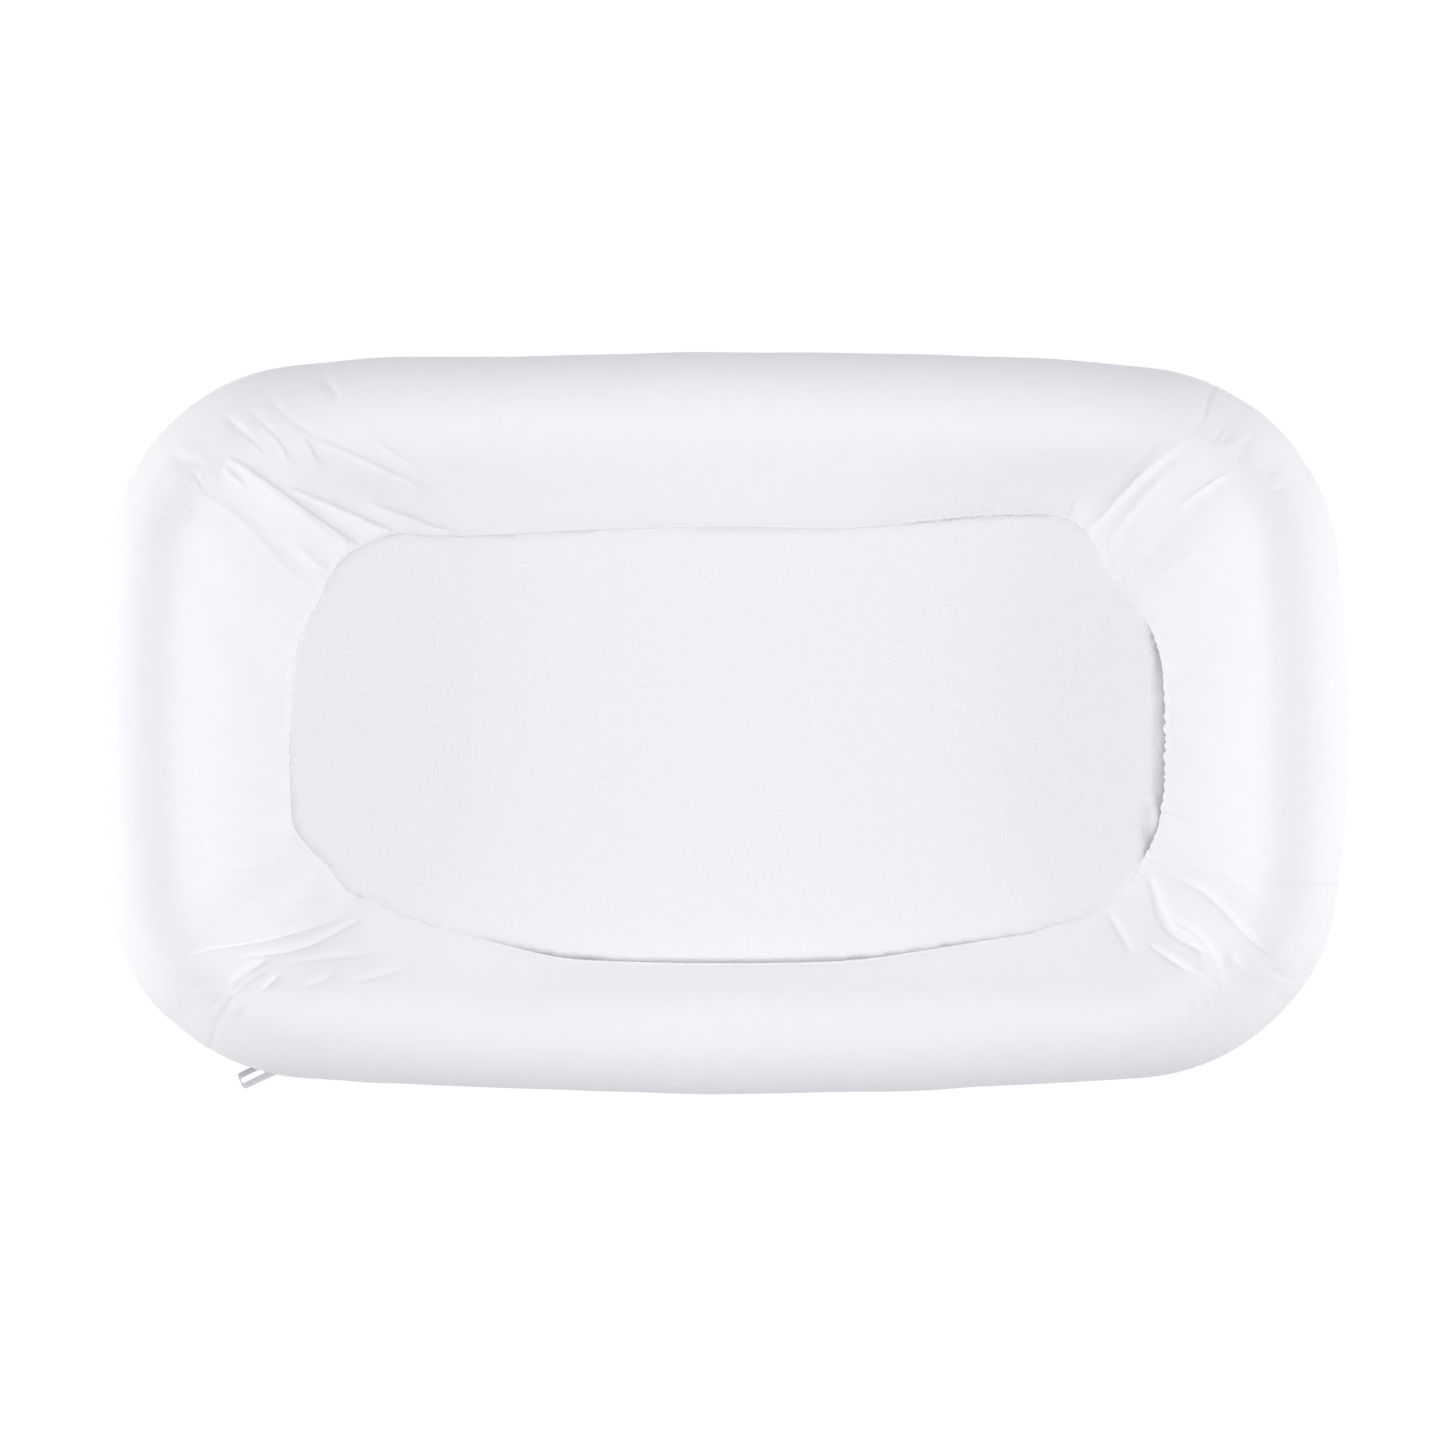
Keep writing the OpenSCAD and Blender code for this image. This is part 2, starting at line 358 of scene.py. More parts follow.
def hem_pull_points():
    """Turns round the hem and how far the hem is drawn outwards there."""
    turns = np.linspace(0, 8, 4001)
    points, normals = on_outline(hem_arcs, turns)
    at, pull = [], []
    for stretch in HEM_STRETCHES:
        offsets = [np.array(place) * MM - points for place in stretch]
        near = [np.hypot(*offset.T).argmin() for offset in offsets]
        where = sorted((turns[k], offset[k] @ normals[k]) for k, offset in zip(near, offsets))
        at += [where[0][0] - pull_fade, *(turn for turn, _ in where), where[-1][0] + pull_fade]
        pull += [0, *(reach for _, reach in where), 0]
    return np.array(at), np.array(pull)


pull_at, pull_reach = hem_pull_points()


def hem_pull(turn):
    """The pulls as one line round the hem, with its corners eased."""
    steps = np.linspace(-pull_easing, pull_easing, 7)
    return np.mean([np.interp(turn + step, pull_at, pull_reach, period=8) for step in steps], axis=0)


def round_gap(turn, at):
    """Signed distance between turns, the short way round."""
    return (turn - at + 4) % 8 - 4


def front_rise(y):
    """How far the hem and the insert under it climb towards the front wall."""
    return hem_rise_z * smooth_step((-y - 0.05) / 0.09)


def inner_share(angle):
    """How much of a puff's reach the hem's section has at an angle: all of it on the inner side."""
    return smooth_step((0.35 - np.cos(angle)) / 1.35)


def hem_line(turn):
    """The inner edge of the hem: its points with their height, and its outward normals."""
    points, normals = on_outline(hem_arcs, turn)
    points = points + normals * hem_pull(turn)[:, None]
    return np.column_stack([points, hem_rest_z + front_rise(points[:, 1])]), normals


def corner_distance(turn):
    """Distance along the outline to the nearest corner's middle, in metres."""
    length = arc_length(pad_arcs, turn % 8)
    whole = arc_length(pad_arcs, np.array([7.999999]))[0]
    middles = arc_length(pad_arcs, np.array([1.5, 3.5, 5.5, 7.5]))
    gap = np.abs(length[:, None] - middles)
    return np.minimum(gap, whole - gap).min(axis=1)


def cover_spacing(turn):
    return np.where(corner_distance(turn) < 0.185, 1.62 * MM, 3.3 * MM)


cover_turns = spaced_turns(pad_arcs, cover_spacing)
print("the cover's net has", len(cover_turns), "columns")

# %% Rows of the cover, from the base seam to the hem
WALL_ROWS, ROLL_ROWS, SLOPE_ROWS = 9, 16, 60


def wall_section():
    """Inset and height of the rows from the base seam, up the wall and over the roll to its crest."""
    foot = np.linspace(-np.pi / 2, -np.pi, 6)
    rows = [(foot_r + foot_r * np.cos(a), foot_r + foot_r * np.sin(a)) for a in foot]
    bulge = 1.5 * MM
    for t in np.linspace(0, 1, WALL_ROWS)[1:-1]:
        rows.append((-bulge * np.sin(np.pi * t), foot_r + (roll_z - foot_r) * t))
    roll = np.linspace(np.pi, np.pi / 2, ROLL_ROWS)
    rows += [(roll_r + roll_r * np.cos(a), roll_z + roll_r * np.sin(a)) for a in roll]
    return np.array(rows)


def slope_net(turn, count):
    """Rows from the crest, off the roll and straight down to the hem."""
    outer, out_normal = on_outline(pad_arcs, turn)
    hem, hem_normal = hem_line(turn)
    crest = outer - roll_r * out_normal
    meets = hem_width / 2 + hem_half_width * np.cos(meet_angle)
    hem_outer = hem[:, :2] + hem_normal * meets
    span = np.linalg.norm(crest - hem_outer, axis=1)
    reach = inset_from(pad_arcs, hem_outer) - roll_r
    drop = hem[:, 2] + hem_half_height * np.sin(meet_angle) - roll_z
    lean = np.arctan2(drop, reach) + np.arccos(np.clip(roll_r / np.hypot(drop, reach), -1, 1))
    off_x, off_z = roll_r * np.cos(lean), roll_r * np.sin(lean)
    rows = []
    handle = 0.33 * span[:, None]
    for v in np.linspace(0, 1, count + 1)[1:]:
        a, b, c, d = (1 - v) ** 3, 3 * v * (1 - v) ** 2, 3 * v * v * (1 - v), v ** 3
        plan = a * crest + b * (crest - out_normal * handle)
        plan = plan + c * (hem_outer + hem_normal * handle) + d * hem_outer
        inward = inset_from(pad_arcs, plan) - roll_r
        on_roll = roll_z + np.sqrt(roll_r ** 2 - np.clip(inward, 0, off_x) ** 2)
        t = np.clip((inward - off_x) / (reach - off_x), 0, 1)
        sag = -0.03 * (reach - off_x) * np.sin(np.pi * t) ** 2
        height = np.where(inward < off_x, on_roll, roll_z + off_z + (drop - off_z) * t + sag)
        rows.append(np.column_stack([plan, height]))
    return np.array(rows)


def cover_net(turn):
    outer, normal = on_outline(pad_arcs, turn)
    rows = [np.column_stack([outer - inset * normal, np.full(len(turn), z)]) for inset, z in wall_section()]
    return np.concatenate([np.array(rows), slope_net(turn, SLOPE_ROWS)])


base_net = cover_net(cover_turns)
print("rows x columns of the cover:", base_net.shape[:2])

# %% [markdown]
# ## Creases where the corners are drawn in
# The elastic draws the cloth in most at the corners, so folds fan out there from the hem to
# the rim. A cloth simulation makes folds, but not these folds in these places. So each crease
# is a short smooth line on the plan, and the cloth dips along it and rises beside it, deepest
# in the middle of the line. Depth and width are in millimetres.

# %% Shape of one crease
def smooth_line(points, steps=12):
    """A Catmull-Rom curve through points."""
    p = np.array(points, float)
    p = np.vstack([2 * p[0] - p[1], p, 2 * p[-1] - p[-2]])
    t = np.linspace(0, 1, steps, endpoint=False)[:, None]
    parts = []
    for a, b, c, d in zip(p[:-3], p[1:-2], p[2:-1], p[3:]):
        parts.append(0.5 * (2 * b + (c - a) * t + (2 * a - 5 * b + 4 * c - d) * t ** 2
                            + (3 * b - a - 3 * c + d) * t ** 3))
    return np.vstack([*parts, p[-2]])


def line_distance(places, line):
    """Signed distance from a line, and the share of its length passed, for places on the plan."""
    start, step = line[:-1], np.diff(line, axis=0)
    size = np.linalg.norm(step, axis=1)
    passed = np.concatenate([[0], np.cumsum(size)])
    best = np.full(len(places), np.inf)
    signed = np.full(len(places), np.inf)
    share = np.zeros(len(places))
    for a, s, length, before in zip(start, step, size, passed):
        rel = places - a
        t = np.clip(rel @ s / length ** 2, 0, 1)
        away = rel - t[:, None] * s
        distance = np.hypot(away[:, 0], away[:, 1])
        nearer = distance < best
        best = np.where(nearer, distance, best)
        side = np.sign(s[0] * rel[:, 1] - s[1] * rel[:, 0])
        signed = np.where(nearer, distance * side, signed)
        share = np.where(nearer, (before + t * length) / passed[-1], share)
    return signed, share


def crease_height(places, points, depth, width, ridge=0.55, start=0.0, end=0.0):
    """How much a crease lifts the cloth, in millimetres; start and end say how deep its ends are."""
    line = smooth_line(points) * MM
    reach = 5 * width * MM
    near = ((places > line.min(0) - reach) & (places < line.max(0) + reach)).all(axis=1)
    lift = np.zeros(len(places))
    if near.any():
        signed, share = line_distance(places[near], line)
        q = signed / (width * MM)
        body = np.sin(np.pi * np.clip(share, 0, 1)) ** 0.7
        strength = np.maximum(body, np.maximum(start * (1 - share), end * share))
        valley = -1.0 * np.exp(-(q / 0.7) ** 2)
        dip = -0.45 * np.exp(-((q + 0.9) / 2.4) ** 2)
        shape = valley + dip + ridge * 0.35 * np.exp(-((q - 2.6) / 1.9) ** 2)
        ends = np.clip(np.minimum(share, 1 - share) * 12 + 0.02, 0, 1)
        past_end = (share <= 0) | (share >= 1)
        lift[near] = depth * shape * strength * np.where(past_end, 0.3 * np.exp(-q ** 2), ends)
    return lift


# %% The creases of each corner: points in millimetres, depth, width, ridge
BACK_LEFT_CREASES = [
    ([(-300, 159), (-287, 153), (-248, 124), (-204, 94)], 4.2, 2.4, 0.5, 0.3),
    ([(-263, 142), (-233, 129), (-201, 114), (-185, 102)], 2.4, 2.0, 0.6, 0.2),
    ([(-214, 132), (-185, 121), (-156, 111)], 1.7, 1.9, 0.6, 0.3),
    ([(-274, 199), (-254, 176), (-201, 150), (-173, 137)], 1.6, 2.2, 0.7, 0.2),
    ([(-242, 208), (-227, 191)], 1.2, 2.0, 0.7, 0.0),
    ([(-215, 178), (-196, 160), (-178, 150)], 0.9, 2.4, 0.7, 0.0),
    ([(-297, 182), (-283, 170), (-273, 159)], 1.6, 2.2, 0.8, 0.0),
    ([(-282, 185), (-267, 170), (-257, 154)], 1.6, 2.2, 0.8, 0.0),
    ([(-250, 171), (-239, 150)], 1.3, 2.2, 0.8, 0.0),
    ([(-328, 157), (-308, 154)], 1.6, 2.2, 0.7, 0.0),
    ([(-297, 152), (-285, 140)], 1.4, 1.8, 0.7, 0.0),
    ([(-327, 141), (-302, 131), (-282, 115), (-264, 94), (-243, 78)], 0.8, 3.0, 0.7, 0.0),
    ([(-258, 108), (-245, 96), (-233, 89)], 1.0, 2.4, 0.7, 0.0),
]
BACK_RIGHT_CREASES = [
    ([(286, 178), (280, 173), (248, 145), (218, 113)], 3.2, 1.6, 0.7, 0.4),
    ([(307, 152), (290, 141), (271, 128)], 1.5, 1.8, 0.5, 0.0),
    ([(263, 166), (251, 147)], 1.0, 1.8, 0.4, 0.0),
    ([(268, 152), (247, 128), (229, 105)], 0.9, 3.0, 0.3, 0.1),
    ([(287, 105), (258, 86)], 0.6, 2.8, 0.6, 0.0),
    ([(213, 138), (211, 120)], 0.6, 3.0, 0.5, 0.0),
]
FRONT_LEFT_CREASES = [
    ([(-321, -141), (-307, -135), (-271, -129), (-246, -122), (-226, -118)], 3.0, 1.5, 0.4, 0.3),
    ([(-286, -140), (-254, -134), (-236, -127), (-217, -118)], 3.0, 1.5, 0.4, 0.5),
    ([(-293, -160), (-288, -151), (-271, -141)], 2.6, 1.8, 0.5, 0.0),
    ([(-274, -160), (-264, -150)], 1.5, 1.8, 0.5, 0.0),
    ([(-250, -158), (-231, -151)], 1.0, 2.2, 0.5, 0.0),
    ([(-223, -156), (-185, -146)], 1.2, 2.2, 0.5, 0.0),
    ([(-264, -144), (-240, -141), (-205, -138)], 1.2, 2.0, 0.5, 0.1),
    ([(-311, -74), (-295, -71), (-282, -67), (-264, -69), (-248, -77)], 1.5, 3.4, 0.7, 0.2),
    ([(-309, -87), (-278, -86), (-263, -80)], 1.0, 3.2, 0.7, 0.0),
    ([(-267, -108), (-239, -105)], 0.8, 3.0, 0.7, 0.0),
]
FRONT_RIGHT_CREASES = [
    ([(256, -91), (266, -122), (286, -136), (297, -155)], 3.6, 2.8, 0.5, 0.3),
    ([(268, -117), (284, -127), (292, -140), (294, -153)], 1.6, 1.7, 0.4, 0.1),
    ([(254, -132), (274, -145), (294, -160)], 2.0, 1.7, 0.5, 0.0),
    ([(301, -137), (315, -155)], 2.2, 1.6, 0.5, 0.0),
    ([(268, -92), (289, -102), (307, -121), (330, -144)], 2.2, 1.9, 0.5, 0.0),
    ([(230, -112), (241, -130), (246, -140)], 1.4, 2.8, 0.5, 0.2),
    ([(262, -84), (300, -91), (325, -108)], 0.7, 3.4, 0.6, 0.0),
]
CREASES = BACK_LEFT_CREASES + BACK_RIGHT_CREASES + FRONT_LEFT_CREASES + FRONT_RIGHT_CREASES

# The seams of the four darts, from the foot of the rim to where they run out in a crease
DARTS = {
    "dart_back_left": [(-359, 146), (-349, 153), (-330, 157), (-300, 159), (-287, 153)],
    "dart_back_right": [(300, 209), (294, 200), (290, 192), (286, 179), (280, 173)],
    "dart_front_left": [(-309, -199), (-305, -189), (-299, -174), (-290, -162), (-278, -151), (-264, -144)],
    "dart_front_right": [(352, -152), (342, -154), (330, -150), (320, -141)],
}
print(len(CREASES), "creases and", len(DARTS), "darts")

# %% [markdown]
# ## Puckers and gathers
# Where a dart eases the cloth round a corner, short puckers stand side by side along the rim.
# Along the hem the elastic bunches the cloth into small puffs, a few millimetres apart, which
# fade out up the slope. Both repeat with small differences, so each comes from a seeded
# random series: the same on every run, but never in step.

# %% Puckers beside the darts
def pucker_creases(seed, count, corner, first, last, inset, length):
    """Short creases side by side between two turns of a corner, across the rim."""
    random = np.random.default_rng(seed)
    turns = corner + np.linspace(first, last, count) + random.uniform(-0.01, 0.01, count)
    points, normals = on_outline(pad_arcs, turns)
    found = []
    for point, normal in zip(points / MM, normals):
        slant = random.uniform(-0.5, 0.1)
        heading = -(normal + slant * np.array([-normal[1], normal[0]]))
        start = point - normal * (inset + random.uniform(-5, 5))
        stop = start + heading * length * random.uniform(0.6, 1.2)
        found.append(([start, stop], random.uniform(0.35, 0.9), random.uniform(1.4, 2.0), 0.8, 0.0))
    return found


PUCKERS = (pucker_creases(3, 11, BACK_RIGHT, 0.32, 0.66, 20, 16)
           + pucker_creases(5, 9, BACK_LEFT, 0.45, 0.8, 30, 18)
           + pucker_creases(8, 5, FRONT_LEFT, 0.5, 0.7, 28, 12)
           + pucker_creases(11, 6, FRONT_RIGHT, 0.2, 0.45, 30, 14))
print(len(PUCKERS), "puckers")

# %% Gathers along the hem
GATHER_PITCH = 5.6 * MM
hem_fine = np.linspace(0, 8, 16001)
hem_fine_points = hem_line(hem_fine)[0]
hem_run = np.concatenate([[0], np.cumsum(np.linalg.norm(np.diff(hem_fine_points, axis=0), axis=1))])
hem_length = hem_run[-1]
gather_count = int(hem_length / GATHER_PITCH)
gather_random = np.random.default_rng(21)
gather_widths = gather_random.uniform(0.6, 1.45, gather_count)
gather_edges = np.concatenate([[0], np.cumsum(gather_widths)]) / gather_widths.sum() * hem_length
gather_sizes = gather_random.uniform(0.35, 1.0, gather_count)


def gather_puff(turn):
    """Height of the hem's puffs, 0 in the pinches and up to 1 on top, at each turn."""
    run = np.interp(turn % 8, hem_fine, hem_run)
    phase = np.interp(run, gather_edges, np.arange(gather_count + 1))
    which = np.minimum(phase.astype(int), gather_count - 1)
    return np.abs(np.sin(np.pi * phase)) ** 0.7 * gather_sizes[which]


# Where the hem is bunched most: turn, share, and how wide that stretch is in turns
GATHER_STRETCHES = [(LEFT + 0.15, 1.0, 0.5), (RIGHT + 0.45, 1.0, 0.6), (BACK_RIGHT + 0.5, 0.6, 0.5),
                    (BACK + 0.12, 0.35, 0.25), (BACK_LEFT + 0.6, 0.35, 0.4), (FRONT_RIGHT + 0.8, 0.6, 0.25)]


def gather_strength(turn):
    strength = np.full(len(turn), 0.12)
    for at, share, width in GATHER_STRETCHES:
        strength = np.maximum(strength, share * np.exp(-(round_gap(turn, at) / width) ** 2))
    return strength


print(gather_count, "gathers round a hem of", round(hem_length, 3), "m")

# %% [markdown]
# ## The finished cover
# The creases, puckers, gathers and a slow waviness are added up as one height over the base
# net, along its normals. The cloth may stand proud of the foam, but it may not sink into it,
# so on the rim the height is held above the casing. The result is one sheet of cloth, from
# the base seam to the hem.

# %% Raise the net into cloth
# Slow swells and dips of the long walls: place, height and half width, in millimetres
RIM_SWELLS = [((-74, 226), -1.6, 38), ((47, 228), -0.8, 50), ((62, -228), 0.2, 55), ((-150, -222), -2.2, 50),
              ((190, 218), 1.0, 40), ((-378, 30), 1.0, 50), ((378, -40), 1.2, 60), ((-200, 220), 2.2, 35),
              ((290, 206), -2.4, 38), ((-305, -203), -3.6, 28), ((-255, -214), -3.0, 28),
              ((185, -220), -2.0, 40), ((265, -212), -7.0, 45), ((305, -202), -3.5, 30)]


def waviness(net, turn):
    """Slow ups and downs of the cloth along the rim, in millimetres."""
    run = arc_length(pad_arcs, turn)
    whole = arc_length(pad_arcs, np.array([7.999999]))[0]
    row_share = np.linspace(0, 1, net.shape[0])[:, None]
    random = np.random.default_rng(4)
    height = np.zeros(net.shape[:2])
    for waves in (5, 8, 11, 17, 23, 31):
        phase = random.uniform(0, 2 * np.pi)
        drift = random.uniform(-2, 2)
        angle = 2 * np.pi * waves * run[None] / whole + phase + drift * row_share
        height += np.sin(angle) * 1.4 / waves ** 0.6
    height = height * (0.35 + 0.65 * np.sin(np.pi * row_share))
    for place, swell, width in RIM_SWELLS:
        gap = np.hypot(*(net[:, :, :2] - np.array(place) * MM).transpose(2, 0, 1)) / MM
        height += swell * np.exp(-(gap / width) ** 2)
    return height


def scalloped(net, turn):
    """The net with its last rows drawn in and out by the puffs, in step with the hem."""
    _, hem_normal = hem_line(turn)
    reach = puff_reach * gather_puff(turn) * gather_strength(turn) * inner_share(meet_angle)
    from_hem = np.linalg.norm(net[-1][None] - net, axis=2)
    fade = np.exp(-from_hem / (4 * MM))
    fade[: net.shape[0] // 3] = 0
    moved = net.copy()
    moved[:, :, :2] -= hem_normal[None] * (fade * reach)[:, :, None]
    return moved


def hem_gathering(net, turn):
    """The gathers' height on the slope, which fades out away from the hem, in millimetres."""
    rows = net.shape[0]
    from_hem = np.linalg.norm(net[-1][None] - net, axis=2)
    fade = np.exp(-from_hem / (9 * MM))
    fade[: rows // 3] = 0
    return 1.3 * (gather_puff(turn) * gather_strength(turn))[None] * fade


# How far, in millimetres, the cover and the waviness alone may sink towards the casing
COVER_SINK, RIM_SINK = 1.6, 1.0


def room_below(net):
    """How far the net is clear of the roll of foam: nothing on the wall and the roll, more beyond."""
    inward = inset_from(pad_arcs, net[:, :, :2].reshape(-1, 2)).reshape(net.shape[:2]) - roll_r
    room = np.hypot(inward, net[:, :, 2] - roll_z) - roll_r
    room[: len(wall_section())] = 0
    return np.maximum(room, 0)


def raised(net, turn):
    plan = net[:, :, :2].reshape(-1, 2)
    high = (net[:, :, 2] > 0.35 * cover_high.z).ravel()
    lift = np.zeros(len(plan))
    for points, depth, width, ridge, ends in CREASES + PUCKERS:
        lift[high] += crease_height(plan[high], points, depth, width, ridge, ends, ends)
    for points in DARTS.values():
        lift[high] += crease_height(plan[high], points, 0.6, 0.9, 0.5, 1.0, 0.5)
    lift = lift.reshape(net.shape[:2]) + np.maximum(waviness(net, turn), -RIM_SINK) + hem_gathering(net, turn)
    lift = np.maximum(lift, -COVER_SINK - room_below(net) / MM)
    lift[0] = 0
    lift[-1] = -0.15
    return net + net_normals(net) * (lift * MM)[:, :, None]


cover_points = scalloped(raised(base_net, cover_turns), cover_turns)
cover_points[:, :, 2] = np.maximum(cover_points[:, :, 2], 0.0)
row_run = np.concatenate([[0], np.cumsum(np.linalg.norm(np.diff(base_net, axis=0), axis=2).mean(axis=1))])
cover_uv = np.stack(np.broadcast_arrays(arc_length(pad_arcs, cover_turns)[None], row_run[:, None]), axis=-1)
cover = link_mesh("jersey_cover", cover_points.reshape(-1, 3), ring_faces(*cover_points.shape[:2]),
                  jersey, cover_uv.reshape(-1, 2))
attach(cover, "pad")
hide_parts("fitted_cover", "cover_skirt")
print("the cover has", len(cover.data.polygons), "faces")

# %% [markdown]
# ## The hem
# The hem is a channel of jersey folded over the elastic. Its edge is scalloped, because the
# cloth puffs out between pinches. It is a tube swept along the hem line, with far more columns
# than the cover, since each puff needs eight or more to look round.

# %% Sweep the hem's channel
HEM_COLUMNS, HEM_SIDES = 2400, 18
hem_turns = np.interp(np.linspace(0, hem_length, HEM_COLUMNS, endpoint=False), hem_run, hem_fine)
hem_points, hem_normals = hem_line(hem_turns)
hem_puff = gather_puff(hem_turns) * gather_strength(hem_turns)


def hem_net():
    """The channel's section, an oval, whose inner side swells with each puff."""
    rows = []
    middle = hem_points[:, :2] + hem_normals * hem_width / 2
    for angle in np.linspace(0, 2 * np.pi, HEM_SIDES, endpoint=False):
        inner = inner_share(angle)
        spread = (np.cos(angle) * hem_half_width - puff_reach * hem_puff * inner)[:, None]
        height = hem_half_height * np.sin(angle) * (1 + (0.5 * hem_puff - 0.12) * inner)
        rows.append(np.column_stack([middle + hem_normals * spread, hem_points[:, 2] + height]))
    return np.array(rows)


hem_rows = hem_net()
hem_around = np.linspace(0, 0.018, HEM_SIDES)[:, None]
hem_uv = np.stack(np.broadcast_arrays(np.linspace(0, hem_length, HEM_COLUMNS)[None], hem_around), axis=-1)
hem = link_mesh("gathered_hem", hem_rows.reshape(-1, 3), ring_faces(HEM_SIDES, HEM_COLUMNS, True),
                jersey, hem_uv.reshape(-1, 2))
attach(hem, "pad")
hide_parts("hem_casing")


def elastic_net():
    """A flat band inside the channel."""
    middle = hem_points[::4, :2] + hem_normals[::4] * hem_width / 2
    rows = []
    for across, up in [(-1, -1), (1, -1), (1, 1), (-1, 1)]:
        place = middle + hem_normals[::4] * across * 2.0 * MM
        rows.append(np.column_stack([place, hem_points[::4, 2] + up * 0.5 * MM]))
    return np.array(rows)


elastic_rows = elastic_net()
elastic_uv = np.stack(np.broadcast_arrays(np.linspace(0, hem_length, elastic_rows.shape[1])[None],
                                          np.array([0, 0.004, 0.005, 0.009])[:, None]), axis=-1)
print("the hem has", len(hem.data.polygons), "faces")

# %% [markdown]
# ## Stitches
# A row of machine stitches is one short bead of thread, repeated along a line. Copying a bead
# by hand would be slow, and a texture would lie flat, so Geometry Nodes do it: a tree
# resamples a curve at the stitch length and puts a bead on each point, turned along the seam.
# One tree serves every seam, because its sizes are named inputs of the modifier.

# %% A tree that sews along a curve
def set_input(modifier, tree, name, value):
    """Sets a modifier's input by its socket's identifier."""
    for item in tree.interface.items_tree:
        if item.item_type == "SOCKET" and item.in_out == "INPUT" and item.name == name:
            modifier[item.identifier] = value
            return
    raise ValueError(f"the tree has no input called {name}")


def sewing_tree(material):
    tree = bpy.data.node_groups.new("sewing", "GeometryNodeTree")
    tree.interface.new_socket("Geometry", in_out="INPUT", socket_type="NodeSocketGeometry")
    for name in ("Stitch Pitch", "Stitch Length", "Thread Width"):
        tree.interface.new_socket(name, in_out="INPUT", socket_type="NodeSocketFloat")
    tree.interface.new_socket("Geometry", in_out="OUTPUT", socket_type="NodeSocketGeometry")
    nodes, links = tree.nodes, tree.links
    given, result = nodes.new("NodeGroupInput"), nodes.new("NodeGroupOutput")
    spaced = nodes.new("GeometryNodeResampleCurve")
    spaced.mode = "LENGTH"
    bead = nodes.new("GeometryNodeMeshUVSphere")
    bead.inputs["Segments"].default_value = 6
    bead.inputs["Rings"].default_value = 4
    bead.inputs["Radius"].default_value = 0.5
    size = nodes.new("ShaderNodeCombineXYZ")
    shaped = nodes.new("GeometryNodeTransform")
    tangent = nodes.new("GeometryNodeInputTangent")
    turned = nodes.new("FunctionNodeAlignRotationToVector")
    placed = nodes.new("GeometryNodeInstanceOnPoints")
    real = nodes.new("GeometryNodeRealizeInstances")
    finish = nodes.new("GeometryNodeSetMaterial")
    finish.inputs["Material"].default_value = material
    links.new(given.outputs["Geometry"], spaced.inputs["Curve"])
    links.new(given.outputs["Stitch Pitch"], spaced.inputs["Length"])
    links.new(given.outputs["Thread Width"], size.inputs["X"])
    links.new(given.outputs["Thread Width"], size.inputs["Y"])
    links.new(given.outputs["Stitch Length"], size.inputs["Z"])
    links.new(bead.outputs["Mesh"], shaped.inputs["Geometry"])
    links.new(size.outputs["Vector"], shaped.inputs["Scale"])
    links.new(tangent.outputs["Tangent"], turned.inputs["Vector"])
    links.new(spaced.outputs["Curve"], placed.inputs["Points"])
    links.new(shaped.outputs["Geometry"], placed.inputs["Instance"])
    links.new(turned.outputs["Rotation"], placed.inputs["Rotation"])
    links.new(placed.outputs["Instances"], real.inputs["Geometry"])
    links.new(real.outputs["Geometry"], finish.inputs["Geometry"])
    links.new(finish.outputs["Geometry"], result.inputs["Geometry"])
    return tree


def made_real(obj, name):
    """The object's evaluated result as a plain mesh object; the original is removed."""
    bpy.context.view_layer.update()
    evaluated = obj.evaluated_get(bpy.context.evaluated_depsgraph_get())
    mesh = bpy.data.meshes.new_from_object(evaluated)
    mesh.name = name
    bpy.data.objects.remove(obj)
    real = bpy.data.objects.new(name, mesh)
    bpy.context.scene.collection.objects.link(real)
    return real


def sew(name, lines, pitch, length, width, closed=False):
    """Stitches along one or more lines of points, as one piece."""
    curve = bpy.data.curves.new(name + "_line", "CURVE")
    curve.dimensions = "3D"
    for line in lines:
        spline = curve.splines.new("POLY")
        spline.points.add(len(line) - 1)
        spline.points.foreach_set("co", np.column_stack([line, np.ones(len(line))]).ravel())
        spline.use_cyclic_u = closed
    obj = bpy.data.objects.new(name + "_line", curve)
    bpy.context.scene.collection.objects.link(obj)
    modifier = obj.modifiers.new("sewing", "NODES")
    modifier.node_group = stitch_tree
    set_input(modifier, stitch_tree, "Stitch Pitch", pitch)
    set_input(modifier, stitch_tree, "Stitch Length", length)
    set_input(modifier, stitch_tree, "Thread Width", width)
    piece = made_real(obj, name)
    piece.data.shade_smooth()
    print(name, "has", len(piece.data.polygons), "faces")
    return piece


# %% Thread: two plies twisted together
def make_thread():
    material, nodes, links, shader = new_material("polyester_thread", (0.93, 0.93, 0.94), 0.55, 0.1, 0.4)
    twist = wave(nodes, links, coordinates(nodes, links, "Object", (1800, 1800, 1800)), "DIAGONAL")
    bump(nodes, links, shader, twist, 0.06 * MM, 0.5)
    tint(nodes, links, shader, twist, (0.86, 0.86, 0.88), (0.95, 0.95, 0.95))
    return material


thread = make_thread()
stitch_tree = sewing_tree(thread)

# %% [markdown]
# ## Where the stitches go
# The hem is closed by one row just inside its outer edge, sunk a little because the thread
# pulls the cloth down. The darts have a row in the bottom of their groove. For those the
# height comes from the cover itself, by dropping a ray on it from above.

# %% Sew the hem, the darts and the base seam
cover_tree = BVHTree.FromPolygons([tuple(p) for p in cover_points.reshape(-1, 3)],
                                  [tuple(map(int, f)) for f in ring_faces(*cover_points.shape[:2])])


